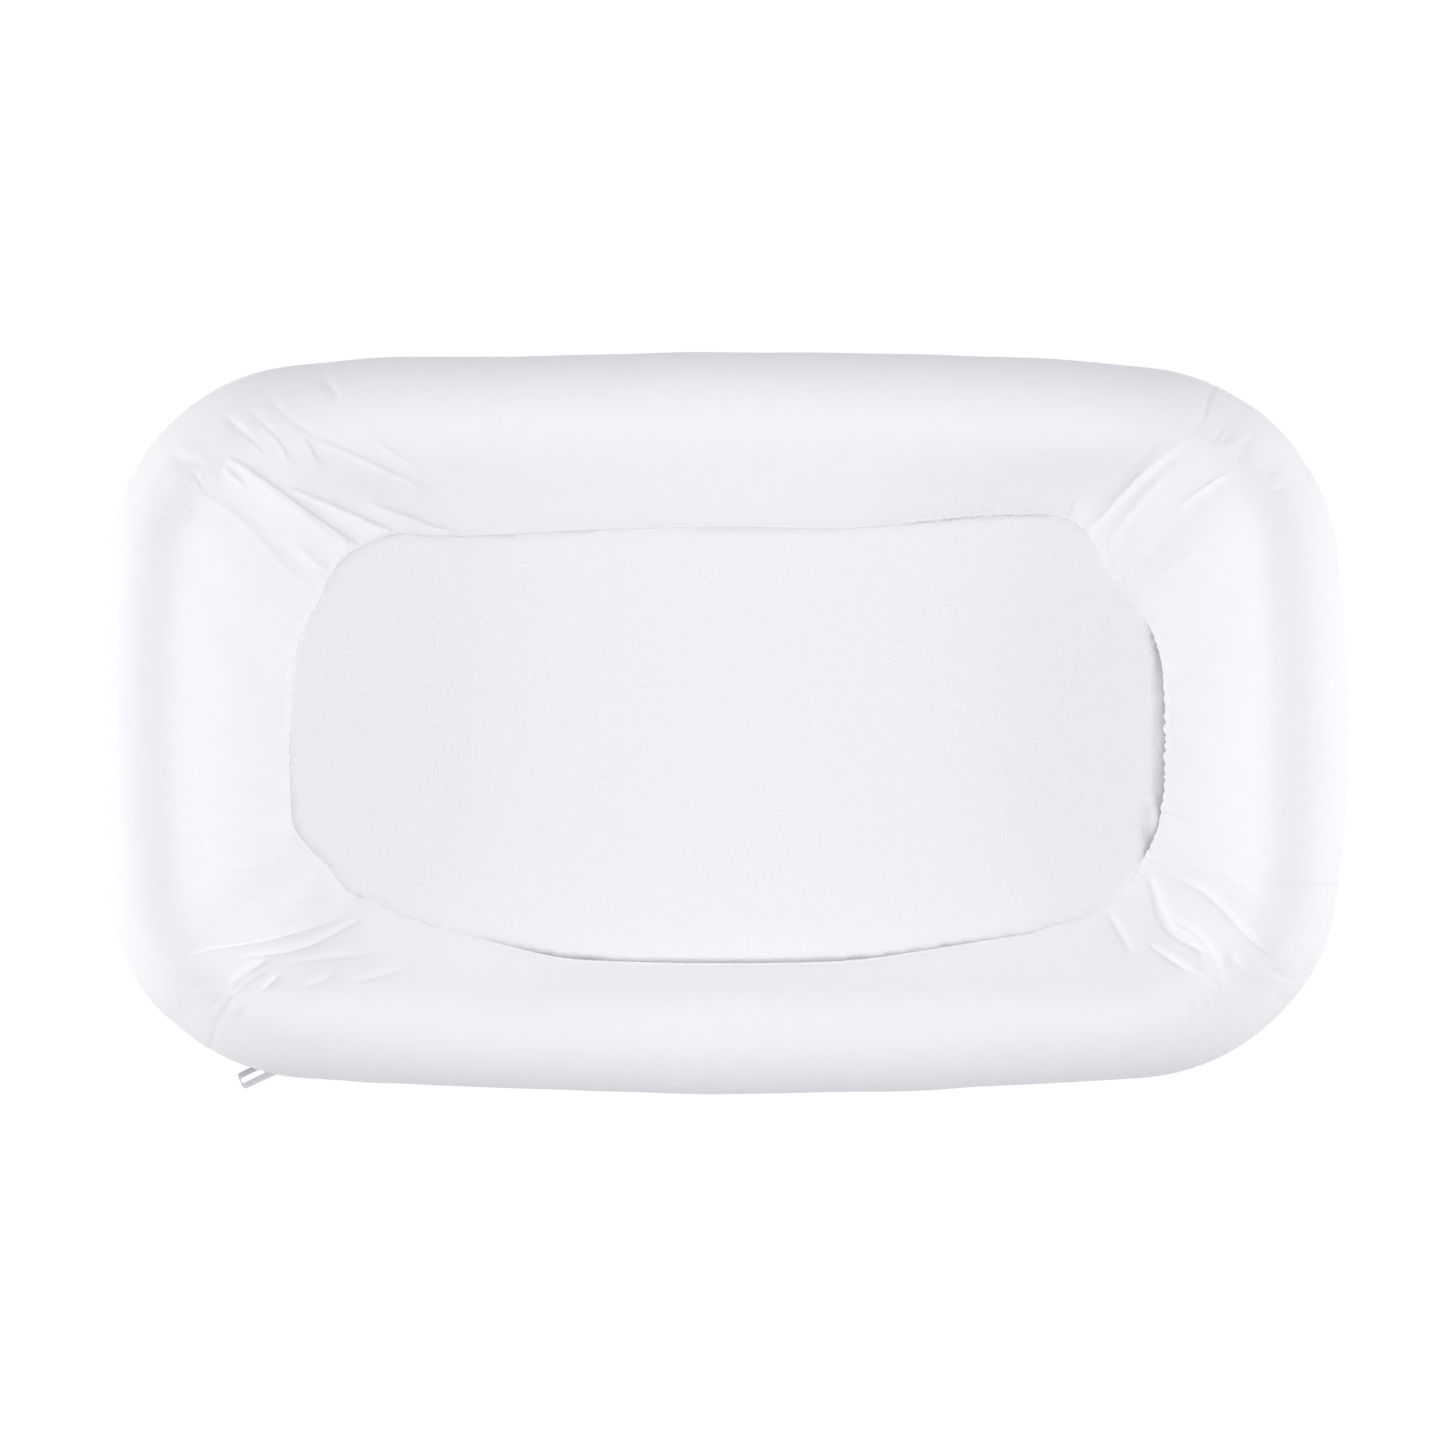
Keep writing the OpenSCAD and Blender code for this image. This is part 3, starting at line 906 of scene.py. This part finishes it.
def on_cover(places, lift):
    """Points on the cover's upper side above places on the plan."""
    found = []
    for x, y in places:
        hit = cover_tree.ray_cast(Vector((x, y, 0.2)), Vector((0, 0, -1)))[0]
        if hit is not None:
            found.append((x, y, hit.z + lift))
    return np.array(found)


def wall_line(turn, inset):
    """The cover's own points up one column of the wall, as far in as inset."""
    column = int(np.abs(round_gap(cover_turns, turn)).argmin())
    count = int((wall_section()[6:, 0] < inset).sum()) + 6
    return cover_points[:count, column]


def nearest_turn(place):
    turns = np.linspace(0, 8, 4001)
    points = on_outline(pad_arcs, turns)[0]
    return turns[np.hypot(*(points - place).T).argmin()]


hem_seam = hem_points[:, :2] + hem_normals * (hem_width / 2 + hem_half_width * np.cos(meet_angle))
hem_seam_z = hem_points[:, 2] + hem_half_height * np.sin(meet_angle) - 0.05 * MM
hem_thread = sew("hem_thread", [np.column_stack([hem_seam, hem_seam_z])], 2.8 * MM, 2.3 * MM, 0.34 * MM, True)
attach(hem_thread, "pad")
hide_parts("hem_stitching")

for node, points in DARTS.items():
    top = on_cover(smooth_line(points) * MM, 0.05 * MM)
    outline_point = on_outline(pad_arcs, [nearest_turn(top[0, :2])])[0][0]
    inset = np.hypot(*(top[0, :2] - outline_point))
    line = np.vstack([wall_line(nearest_turn(top[0, :2]), inset), top])
    piece = sew(node + "_thread", [line], 2.4 * MM, 1.9 * MM, 0.24 * MM)
    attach(piece, "pad")
    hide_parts(node)

seam_inset = foot_r - 2.5 * MM
seam_points, seam_normals = on_outline(pad_arcs, np.linspace(0, 8, 900, endpoint=False))
seam_z = foot_r - np.sqrt(foot_r ** 2 - (foot_r - seam_inset) ** 2)
seam_line = np.column_stack([seam_points - seam_normals * seam_inset, np.full(900, seam_z + 0.05 * MM)])
base_thread = sew("base_thread", [seam_line], 3.2 * MM, 2.6 * MM, 0.4 * MM, True)
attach(base_thread, "pad")
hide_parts("base_seam_stitching")

# %% [markdown]
# ## The insert
# The insert is a quilted slab: terry on top, wadding inside. Air and fibre push its two faces
# apart, so it is crowned, with soft sides. A box with bevelled edges would look like board.
# So a rounded slab a little too thin is remeshed into even faces, and Cloth blows it up with
# a small pressure. A cap on how far a point may move keeps it out of its neighbours.

# %% A rounded slab for the insert
def closed_slab(arcs, centre, low, high, edge, columns=240):
    """Points and faces of a slab with rounded sides: rings from the bottom's middle to the top's."""
    outline, normals = on_outline(arcs, np.linspace(0, 8, columns, endpoint=False))
    middle, half = (low + high) / 2, (high - low) / 2
    rings = []
    inner = outline - normals * edge
    for share in np.linspace(0.04, 1, 12):
        rings.append(np.column_stack([centre + (inner - centre) * share, np.full(columns, low)]))
    for angle in np.linspace(-np.pi / 2, np.pi / 2, 9)[1:-1]:
        ring = inner + normals * edge * np.cos(angle)
        rings.append(np.column_stack([ring, np.full(columns, middle + half * np.sin(angle))]))
    for share in np.linspace(1, 0.04, 12):
        rings.append(np.column_stack([centre + (inner - centre) * share, np.full(columns, high)]))
    points = np.vstack([*rings, [[*centre, low]], [[*centre, high]]])
    faces = [tuple(f) for f in ring_faces(len(rings), columns)]
    bottom, top, last = len(points) - 2, len(points) - 1, (len(rings) - 1) * columns
    for c in range(columns):
        over = (c + 1) % columns
        faces.append((bottom, over, c))
        faces.append((top, last + c, last + over))
    return points, faces


def apply_modifiers(obj):
    """Replaces the object's mesh by its evaluated result."""
    bpy.context.view_layer.update()
    evaluated = obj.evaluated_get(bpy.context.evaluated_depsgraph_get())
    mesh = bpy.data.meshes.new_from_object(evaluated)
    old = obj.data
    obj.modifiers.clear()
    obj.data = mesh
    bpy.data.meshes.remove(old)


def mesh_points(obj):
    points = np.zeros(len(obj.data.vertices) * 3)
    obj.data.vertices.foreach_get("co", points)
    return points.reshape(-1, 3)


def set_points(obj, points):
    obj.data.vertices.foreach_set("co", np.asarray(points, float).ravel())
    obj.data.update()


def puff_up(obj, voxel, pressure, cap):
    """Remeshes a closed form, blows it up with Cloth, and caps how far each point moves."""
    remesh = obj.modifiers.new("remesh", "REMESH")
    remesh.mode = "VOXEL"
    remesh.voxel_size = voxel
    apply_modifiers(obj)
    before = mesh_points(obj)
    cloth = obj.modifiers.new("cloth", "CLOTH")
    cloth.settings.use_pressure = True
    cloth.settings.uniform_pressure_force = pressure
    cloth.settings.effector_weights.gravity = 0
    cloth.settings.quality = 5
    for number in range(1, 21):
        bpy.context.scene.frame_set(number)
    apply_modifiers(obj)
    bpy.context.scene.frame_set(1)
    move = mesh_points(obj) - before
    size = np.linalg.norm(move, axis=1, keepdims=True)
    set_points(obj, before + move * np.minimum(1, cap / np.maximum(size, 1e-9)))
    smooth = obj.modifiers.new("smooth", "SUBSURF")
    smooth.levels = smooth.render_levels = 1
    apply_modifiers(obj)


# %% Blow up the insert and settle it in the recess
backing_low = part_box("insert_backing")[0].z
slab_points, slab_faces = closed_slab(insert_arcs, np.array(insert_centre[:2]), backing_low + 1.2 * MM,
                                      rest_z - 1.4 * MM, 7 * MM)
insert = link_mesh("terry_insert", slab_points, slab_faces, terry)
puff_up(insert, 5 * MM, 4, 5 * MM)
INSERT_FOLD = [(250, -32), (257, -52), (258, -70), (255, -86)]


def hem_distance(plan):
    """How far past the hem's edge, towards the middle of the opening, each place lies."""
    distance = []
    for places in np.array_split(plan, len(plan) // 4000 + 1):
        away = places[:, None] - hem_points[None, ::2, :2]
        near = 2 * np.hypot(away[:, :, 0], away[:, :, 1]).argmin(axis=1)
        offset = ((hem_points[near, :2] - places) * hem_normals[near]).sum(axis=1)
        distance.append(offset - hem_half_width + hem_width / 2 - puff_reach * hem_puff[near])
    return np.concatenate(distance)


def refine_beside_hem(obj, reach, cuts):
    """Splits the faces of the top within reach of the hem's edge, so that it can step down there."""
    points = mesh_points(obj)
    beside = np.abs(hem_distance(points[:, :2])) < reach
    beside &= points[:, 2] > points[:, 2].mean()
    mesh = bmesh.new()
    mesh.from_mesh(obj.data)
    mesh.verts.ensure_lookup_table()
    edges = [edge for edge in mesh.edges if beside[edge.verts[0].index] and beside[edge.verts[1].index]]
    bmesh.ops.subdivide_edges(mesh, edges=edges, cuts=cuts, use_grid_fill=True)
    bmesh.ops.triangulate(mesh, faces=[face for face in mesh.faces if len(face.verts) > 4])
    mesh.to_mesh(obj.data)
    mesh.free()


# How far the insert reaches past its CAD form, under the hem
UNDER_SIDES, UNDER_LEFT, UNDER_RIGHT = 3 * MM, 5 * MM, 13 * MM
# The slit beside the hem, and how much shallower it gets beside the gap at the right
SLIT_WIDTH, SLIT_DEPTH, GAP_RELIEF = 0.9 * MM, 4.2 * MM, 2.6 * MM
GAP_DROP = 2.4 * MM


def gap_edge(y):
    """Where the top of the insert starts to fall away at the right, with its bulge and dent."""
    bulge = 5 * np.exp(-((y + 0.058) / 0.010) ** 2)
    dent = 3 * np.exp(-((y + 0.084) / 0.014) ** 2)
    return (259 + bulge - dent) * MM


def settled(points):
    """Presses the insert flat on the floor and under the hem, and gives its top slow dips."""
    x, y, z = points.T
    low, high = points.min(axis=0), points.max(axis=0)
    y = y * (insert_half.y + UNDER_SIDES) / high[1]
    spare = np.where(x < insert_centre.x, UNDER_LEFT, UNDER_RIGHT)
    x = insert_centre.x + (x - insert_centre.x) * (insert_half.x + spare) / np.where(
        x < insert_centre.x, insert_centre.x - low[0], high[0] - insert_centre.x)
    middle = (backing_low + rest_z) / 2
    upper = z > middle
    dips = 0.5 * np.sin(x * 21 + 1.1) * np.sin(y * 26 + 0.4) + 0.35 * np.sin(x * 47 + y * 31)
    plan = np.column_stack([x, y])
    lift = dips + crease_height(plan, INSERT_FOLD, 1.6, 2.6, 0.5, 0.0, 0.0)
    z = np.where(upper, z + lift * MM * smooth_step((z - middle) / (6 * MM)), z)
    sloping = GAP_DROP * smooth_step((x - gap_edge(y) + 1 * MM) / (4 * MM))
    slit_depth = SLIT_DEPTH - GAP_RELIEF * smooth_step((x - 0.22) / 0.035)
    past_slit = smooth_step((hem_distance(plan) - 0.3 * MM) / SLIT_WIDTH)
    sloping = sloping + slit_depth * (1 - past_slit)
    z = np.where(upper, z - sloping + front_rise(y), z)
    return np.column_stack([x, y, np.clip(z, backing_low + 0.1 * MM, rest_z + 0.3 * MM + front_rise(y))])


refine_beside_hem(insert, 9 * MM, 2)
set_points(insert, settled(mesh_points(insert)))
insert.data.shade_smooth()
insert.data.materials.clear()
insert.data.materials.append(terry)
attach(insert, "pad")
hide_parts("insert_top", "insert_wadding", "insert_backing")
top = mesh_points(insert)[:, 2]
print("the insert lies from", round(top.min() * 1000, 1), "to", round(top.max() * 1000, 1), "mm high")

# %% [markdown]
# ## The base
# Underneath, a panel of woven cloth closes the cover. It is stretched flat, and small grip
# dots on it keep the pad from sliding. The panel is a thin closed sheet. The dots repeat on a
# grid, so they are instances of one low dome, placed by a second small tree.

# %% Woven base cloth
def make_base_cloth():
    material, nodes, links, shader = new_material("woven_base", (0.86, 0.86, 0.87), 0.8, 0.1, 0.3)
    over = wave(nodes, links, coordinates(nodes, links, "Object", (1400, 1400, 1)), "X", 0.3)
    under = wave(nodes, links, coordinates(nodes, links, "Object", (1400, 1400, 1)), "Y", 0.3)
    weave = math_node(nodes, links, "MAXIMUM", over, under)
    bump(nodes, links, shader, weave, 0.15 * MM, 0.6)
    tint(nodes, links, shader, weave, (0.74, 0.74, 0.76), (0.88, 0.88, 0.89))
    return material


base_cloth = make_base_cloth()
dot_height = 0.5 * MM


def base_sheet():
    """A thin closed sheet inside the foot of the cover, just clear of the floor."""
    scale_arcs = outline_arcs(cover_high.x - foot_r, cover_high.y - foot_r, 3.842, 1.237, 0.11)
    return closed_slab(scale_arcs, np.zeros(2), dot_height, dot_height + 0.7 * MM, 0.35 * MM, 400)


base_points, base_faces = base_sheet()
base = link_mesh("base_sheet", base_points, base_faces, base_cloth)
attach(base, "pad")

# %% Grip dots on the base
def dot_tree(material):
    tree = bpy.data.node_groups.new("grip_dots", "GeometryNodeTree")
    tree.interface.new_socket("Geometry", in_out="INPUT", socket_type="NodeSocketGeometry")
    for name in ("Dot Radius", "Dot Height"):
        tree.interface.new_socket(name, in_out="INPUT", socket_type="NodeSocketFloat")
    tree.interface.new_socket("Geometry", in_out="OUTPUT", socket_type="NodeSocketGeometry")
    nodes, links = tree.nodes, tree.links
    given, result = nodes.new("NodeGroupInput"), nodes.new("NodeGroupOutput")
    dot = nodes.new("GeometryNodeMeshCone")
    dot.inputs["Vertices"].default_value = 12
    dot.inputs["Radius Bottom"].default_value = 1.0
    dot.inputs["Radius Top"].default_value = 1.25
    dot.inputs["Depth"].default_value = 1.0
    size = nodes.new("ShaderNodeCombineXYZ")
    shaped = nodes.new("GeometryNodeTransform")
    placed = nodes.new("GeometryNodeInstanceOnPoints")
    real = nodes.new("GeometryNodeRealizeInstances")
    finish = nodes.new("GeometryNodeSetMaterial")
    finish.inputs["Material"].default_value = material
    links.new(given.outputs["Dot Radius"], size.inputs["X"])
    links.new(given.outputs["Dot Radius"], size.inputs["Y"])
    links.new(given.outputs["Dot Height"], size.inputs["Z"])
    links.new(dot.outputs["Mesh"], shaped.inputs["Geometry"])
    links.new(size.outputs["Vector"], shaped.inputs["Scale"])
    links.new(given.outputs["Geometry"], placed.inputs["Points"])
    links.new(shaped.outputs["Geometry"], placed.inputs["Instance"])
    links.new(placed.outputs["Instances"], real.inputs["Geometry"])
    links.new(real.outputs["Geometry"], finish.inputs["Geometry"])
    links.new(finish.outputs["Geometry"], result.inputs["Geometry"])
    return tree


def make_grip():
    material, nodes, links, shader = new_material("grip_dots", (0.82, 0.82, 0.83), 0.45, 0.0, 0.5)
    pits = noise(nodes, links, coordinates(nodes, links, "Object", (1500, 1500, 1500)), 3, 0.6)
    bump(nodes, links, shader, pits, 0.05 * MM, 0.6)
    tint(nodes, links, shader, pits, (0.78, 0.78, 0.79), (0.86, 0.86, 0.87))
    return material


def dot_places(pitch, edge):
    """Staggered rows of places inside the base, clear of its edge."""
    limit_arcs = outline_arcs(cover_high.x - edge, cover_high.y - edge,
                              PAD_LONG_R - edge, PAD_END_R - edge, PAD_CORNER_R - edge)
    rim, normal = on_outline(limit_arcs, np.linspace(0, 8, 800, endpoint=False))
    places = []
    rows = int(cover_high.y / (pitch * 0.866))
    for row in range(-rows, rows + 1):
        shift = pitch / 2 if row % 2 else 0.0
        for step in range(-30, 31):
            place = np.array([step * pitch + shift, row * pitch * 0.866])
            nearest = np.hypot(*(rim - place).T).argmin()
            if (place - rim[nearest]) @ normal[nearest] < 0:
                places.append((*place, dot_height / 2))
    return places


carrier_mesh = bpy.data.meshes.new("dot_places")
carrier_mesh.from_pydata(dot_places(22 * MM, 34 * MM), [], [])
carrier = bpy.data.objects.new("dot_places", carrier_mesh)
bpy.context.scene.collection.objects.link(carrier)
grip_tree = dot_tree(make_grip())
dots_modifier = carrier.modifiers.new("dots", "NODES")
dots_modifier.node_group = grip_tree
set_input(dots_modifier, grip_tree, "Dot Radius", 1.6 * MM)
set_input(dots_modifier, grip_tree, "Dot Height", dot_height)
dots = made_real(carrier, "grip_dots")
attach(dots, "pad")
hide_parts("base_panel")
print("the base has", len(dots.data.polygons) // 14, "grip dots")

# %% [markdown]
# ## The label
# A short ribbon is folded in two and sewn under the rim. Its two halves don't lie flat on each
# other: they stand on edge, a few millimetres apart, and the fold at the tip stays round. A
# flat plate would lose that loop. So the ribbon is swept along a path that leaves the seam,
# turns at the tip and comes back, and it stands up more the further it is from the seam. It
# heads aslant, so its sewn ends are cut to the slant and lie along the hinge.

# %% Satin ribbon
def make_ribbon():
    material, nodes, links, shader = new_material("satin_ribbon", (0.74, 0.74, 0.78), 0.42, 0.25, 0.5)
    ribs = wave(nodes, links, coordinates(nodes, links, "UV", (3200, 3200, 1)), "X", 0.2)
    bump(nodes, links, shader, ribs, 0.05 * MM, 0.6)
    tint(nodes, links, shader, ribs, (0.67, 0.67, 0.71), (0.8, 0.8, 0.84))
    return material


ribbon = make_ribbon()
label_joint = next(j for j in frame["joints"] if j["name"] == "label_flip")
print("the label turns about", [round(v, 4) for v in label_joint["pos_m"]])

# %% Sweep the label's loop
LABEL_HEADING = np.radians(206)
label_root = np.array(label_joint["pos_m"]) * [1, 1, 0]
label_length, label_gap, ribbon_width, ribbon_thick = 34 * MM, 3.4 * MM, 5 * MM, 0.35 * MM
LABEL_STEPS = 72
root_clearance = 1.0 * MM


def label_path():
    """The ribbon's middle line, as distances along and across the label, and its length."""
    half = label_gap / 2
    straight = label_length - half
    total = 2 * straight + np.pi * half
    run = np.linspace(0, total, LABEL_STEPS)
    from_end = np.minimum(run, total - run)
    angle = np.clip((run - straight) / half, 0, np.pi)
    turning = (run > straight) & (run < total - straight)
    side = np.where(turning, np.cos(angle), np.sign(total / 2 - run))
    along = np.where(turning, straight + half * np.sin(angle), from_end)
    opening = 0.25 + 0.75 * smooth_step(along / (9 * MM))
    return np.column_stack([along, side * half * opening]), run, total


def label_net():
    """Four corners of the ribbon's section at each step of the path."""
    path = label_path()[0]
    out = np.array([np.cos(LABEL_HEADING), np.sin(LABEL_HEADING), 0])
    side = np.array([-out[1], out[0], 0])
    up = np.array([0.0, 0, 1])
    share = smooth_step(path[:, 0] / (19 * MM))[:, None]
    stand = np.radians(6) + np.radians(38) * share
    away = np.sign(path[:, 1])[:, None] * np.minimum(1, np.abs(path[:, 1]) / (1.2 * MM))[:, None]
    width_way = up * np.sin(stand) + side * away * np.cos(stand)
    width_way /= np.linalg.norm(width_way, axis=1, keepdims=True)
    step = np.gradient(path, axis=0)
    tangent = out * step[:, :1] + side * step[:, 1:]
    face_way = np.cross(tangent, width_way)
    face_way /= np.linalg.norm(face_way, axis=1, keepdims=True)
    low = label_root + out * (path[:, :1] + root_clearance) + side * path[:, 1:]
    low = low + up * (0.55 + 0.4 * share) * MM
    corners = [(0, -0.5), (1, -0.5), (1, 0.5), (0, 0.5)]
    net = np.array([low + width_way * w * ribbon_width + face_way * t * ribbon_thick for w, t in corners])
    from_wall = np.cross(label_joint["axis"], up)
    slant = (side @ from_wall) / (out @ from_wall)
    lateral = (net - label_root) @ side
    near_root = 1 - smooth_step(path[:, 0] / (26 * MM))
    return net - out * (slant * lateral * near_root)[:, :, None]


def swept_strip(net, run, width):
    """Points, faces and UVs of a strip of four-cornered sections, closed at both ends."""
    sides, steps = net.shape[:2]
    faces = []
    for s in range(sides):
        for c in range(steps - 1):
            over = (s + 1) % sides
            faces.append((s * steps + c, s * steps + c + 1, over * steps + c + 1, over * steps + c))
    faces.append(tuple(s * steps for s in range(sides)))
    faces.append(tuple(s * steps + steps - 1 for s in reversed(range(sides))))
    across = np.array([0, width, width, 0])
    uv = np.stack(np.broadcast_arrays(across[:, None], run[None]), axis=-1)
    return net.reshape(-1, 3), faces, uv.reshape(-1, 2)


label_run, ribbon_length = label_path()[1:]
strip_points, strip_faces, strip_uv = swept_strip(label_net(), label_run, ribbon_width)
label = link_mesh("ribbon_label", strip_points, strip_faces, ribbon, strip_uv)
edges = label.modifiers.new("edges", "BEVEL")
edges.width = 0.08 * MM
edges.segments = 1
apply_modifiers(label)
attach(label, "label")
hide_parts("care_label")
print("the ribbon is", round(ribbon_length * 1000), "mm long")

# %% Bar tack that holds the label
tack_low, tack_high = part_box("label_stitching")
tack_middle = (np.array(tack_low) + np.array(tack_high)) / 2
axis = np.array(label_joint["axis"])
tack_half = 5 * MM
tack_lines = []
for number in range(7):
    middle = tack_middle + axis * tack_half * (number - 3) / 3
    across = np.cross(axis, [0, 0, 1]) * 0.6 * MM
    tack_lines.append(np.array([middle - across, middle + across]))
tack = sew("label_tack", tack_lines, 0.6 * MM, 1.0 * MM, 0.4 * MM)
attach(tack, "pad")
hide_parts("label_stitching")

# %% [markdown]
# ## The cover's cloth
# The cover and its hem are one cut of jersey.

# %% [markdown]
# ## The layers inside
# Foam and casing keep the shapes the frame gives them; the elastic is a flat band inside the hem's channel.
# They are hidden when the pad is whole, but they come into view when it is taken apart, so each gets its own
# finish: open cells in the foam, a fine embossed grain on the wipe-clean skin, and ribs on the elastic.

# %% Foam, casing and elastic
def make_foam():
    material, nodes, links, shader = new_material("open_cell_foam", (0.88, 0.84, 0.7), 0.95, 0.0, 0.2)
    cells = nodes.new("ShaderNodeTexVoronoi")
    cells.inputs["Scale"].default_value = 1.0
    links.new(coordinates(nodes, links, "Object", (900, 900, 900)), cells.inputs["Vector"])
    bump(nodes, links, shader, cells.outputs["Distance"], 0.6 * MM, 0.8)
    tint(nodes, links, shader, cells.outputs["Distance"], (0.74, 0.69, 0.54), (0.9, 0.87, 0.75))
    return material


def make_casing():
    material, nodes, links, shader = new_material("wipe_clean_casing", (0.85, 0.86, 0.87), 0.35, 0.0, 0.5)
    grain = noise(nodes, links, coordinates(nodes, links, "Object", (500, 500, 500)), 4, 0.6)
    bump(nodes, links, shader, grain, 0.2 * MM, 0.5)
    tint(nodes, links, shader, grain, (0.82, 0.83, 0.84), (0.88, 0.89, 0.9))
    return material


def make_elastic():
    material, nodes, links, shader = new_material("ribbed_elastic", (0.9, 0.9, 0.88), 0.7, 0.1, 0.3)
    ribs = wave(nodes, links, coordinates(nodes, links, "Object", (900, 900, 1200)), "Z", 0.3)
    bump(nodes, links, shader, ribs, 0.2 * MM, 0.7)
    tint(nodes, links, shader, ribs, (0.8, 0.8, 0.78), (0.94, 0.94, 0.92))
    return material


def dress(material, *names):
    """Gives CAD nodes a finish in place of their plain one."""
    for name in names:
        mesh = frame["nodes"][name].data
        mesh.materials.clear()
        mesh.materials.append(material)


foams = [name for name in frame["nodes"] if "foam" in name]
dress(make_foam(), *foams)
dress(make_casing(), "waterproof_casing")
elastic = link_mesh("elastic_band", elastic_rows.reshape(-1, 3), ring_faces(4, elastic_rows.shape[1], True),
                    make_elastic(), elastic_uv.reshape(-1, 2))
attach(elastic, "pad")
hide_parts("hem_elastic")
print(len(foams), "foam blocks dressed")

# %% [markdown]
# ## Floor, light and camera
# A white thing on a white floor is drawn by its shadows alone. So the light is soft and comes
# from all round: a large box above, a box low on the left and one on the right, which is a
# touch warmer. The front and back get less, so the long edges darken as they turn away. The
# camera looks straight down from three metres with a long lens, so the walls don't splay.

# %% Floor
def make_floor():
    material, _, _, shader = new_material("paper_floor", (0.45, 0.45, 0.45), 0.9, 0.0, 0.1)
    shader.inputs["Emission Color"].default_value = (1, 1, 1, 1)
    shader.inputs["Emission Strength"].default_value = 0.7
    return material


size = 6.0
floor = link_mesh("floor", [(-size, -size, 0), (size, -size, 0), (size, size, 0), (-size, size, 0)],
                  [(0, 1, 2, 3)], make_floor())
floor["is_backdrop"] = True


# %% Lights
def soft_box(name, place, aim, width, height, power, colour):
    light = bpy.data.lights.new(name, "AREA")
    light.shape = "RECTANGLE"
    light.size, light.size_y = width, height
    light.energy = power
    light.color = colour
    obj = bpy.data.objects.new(name, light)
    obj.location = place
    obj.visible_camera = False
    obj.rotation_euler = (Vector(aim) - Vector(place)).to_track_quat("-Z", "Y").to_euler()
    bpy.context.scene.collection.objects.link(obj)
    return obj


soft_box("left_box", (-2.2, 0.05, 0.3), (0, 0, 0.05), 1.6, 0.5, 21, (1.0, 0.985, 0.93))
soft_box("right_box", (2.2, 0.05, 0.36), (0, 0, 0.05), 1.6, 0.6, 18.5, (1.0, 0.985, 0.95))
soft_box("top_box", (0.0, -0.02, 1.15), (0, 0, 0), 0.6, 0.4, 7.0, (1.0, 0.985, 0.965))
world = bpy.data.worlds.new("studio")
world.use_nodes = True
world.node_tree.nodes["Background"].inputs["Color"].default_value = (0.9, 0.885, 1.0, 1)
world.node_tree.nodes["Background"].inputs["Strength"].default_value = 0.43
bpy.context.scene.world = world
bpy.context.scene.view_settings.view_transform = "Standard"

# %% Camera
camera_data = bpy.data.cameras.new("camera")
rim_plane = 0.06
distance = 3.0
field = 0.871
camera_data.sensor_width = 36
camera_data.lens = 36 * distance / field
camera = bpy.data.objects.new("camera", camera_data)
camera.location = (0, 0, rim_plane + distance)
bpy.context.scene.collection.objects.link(camera)
bpy.context.scene.camera = camera

# %% [markdown]
# ## Sizes
# The finished looks stand a little proud of the frame, so both boxes are printed.

# %% Print both boxes and finish
seen_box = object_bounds()
for name, box in [("CAD", cad_box), ("seen", seen_box)]:
    print(name, [[round(c, 4) for c in v] for v in box])
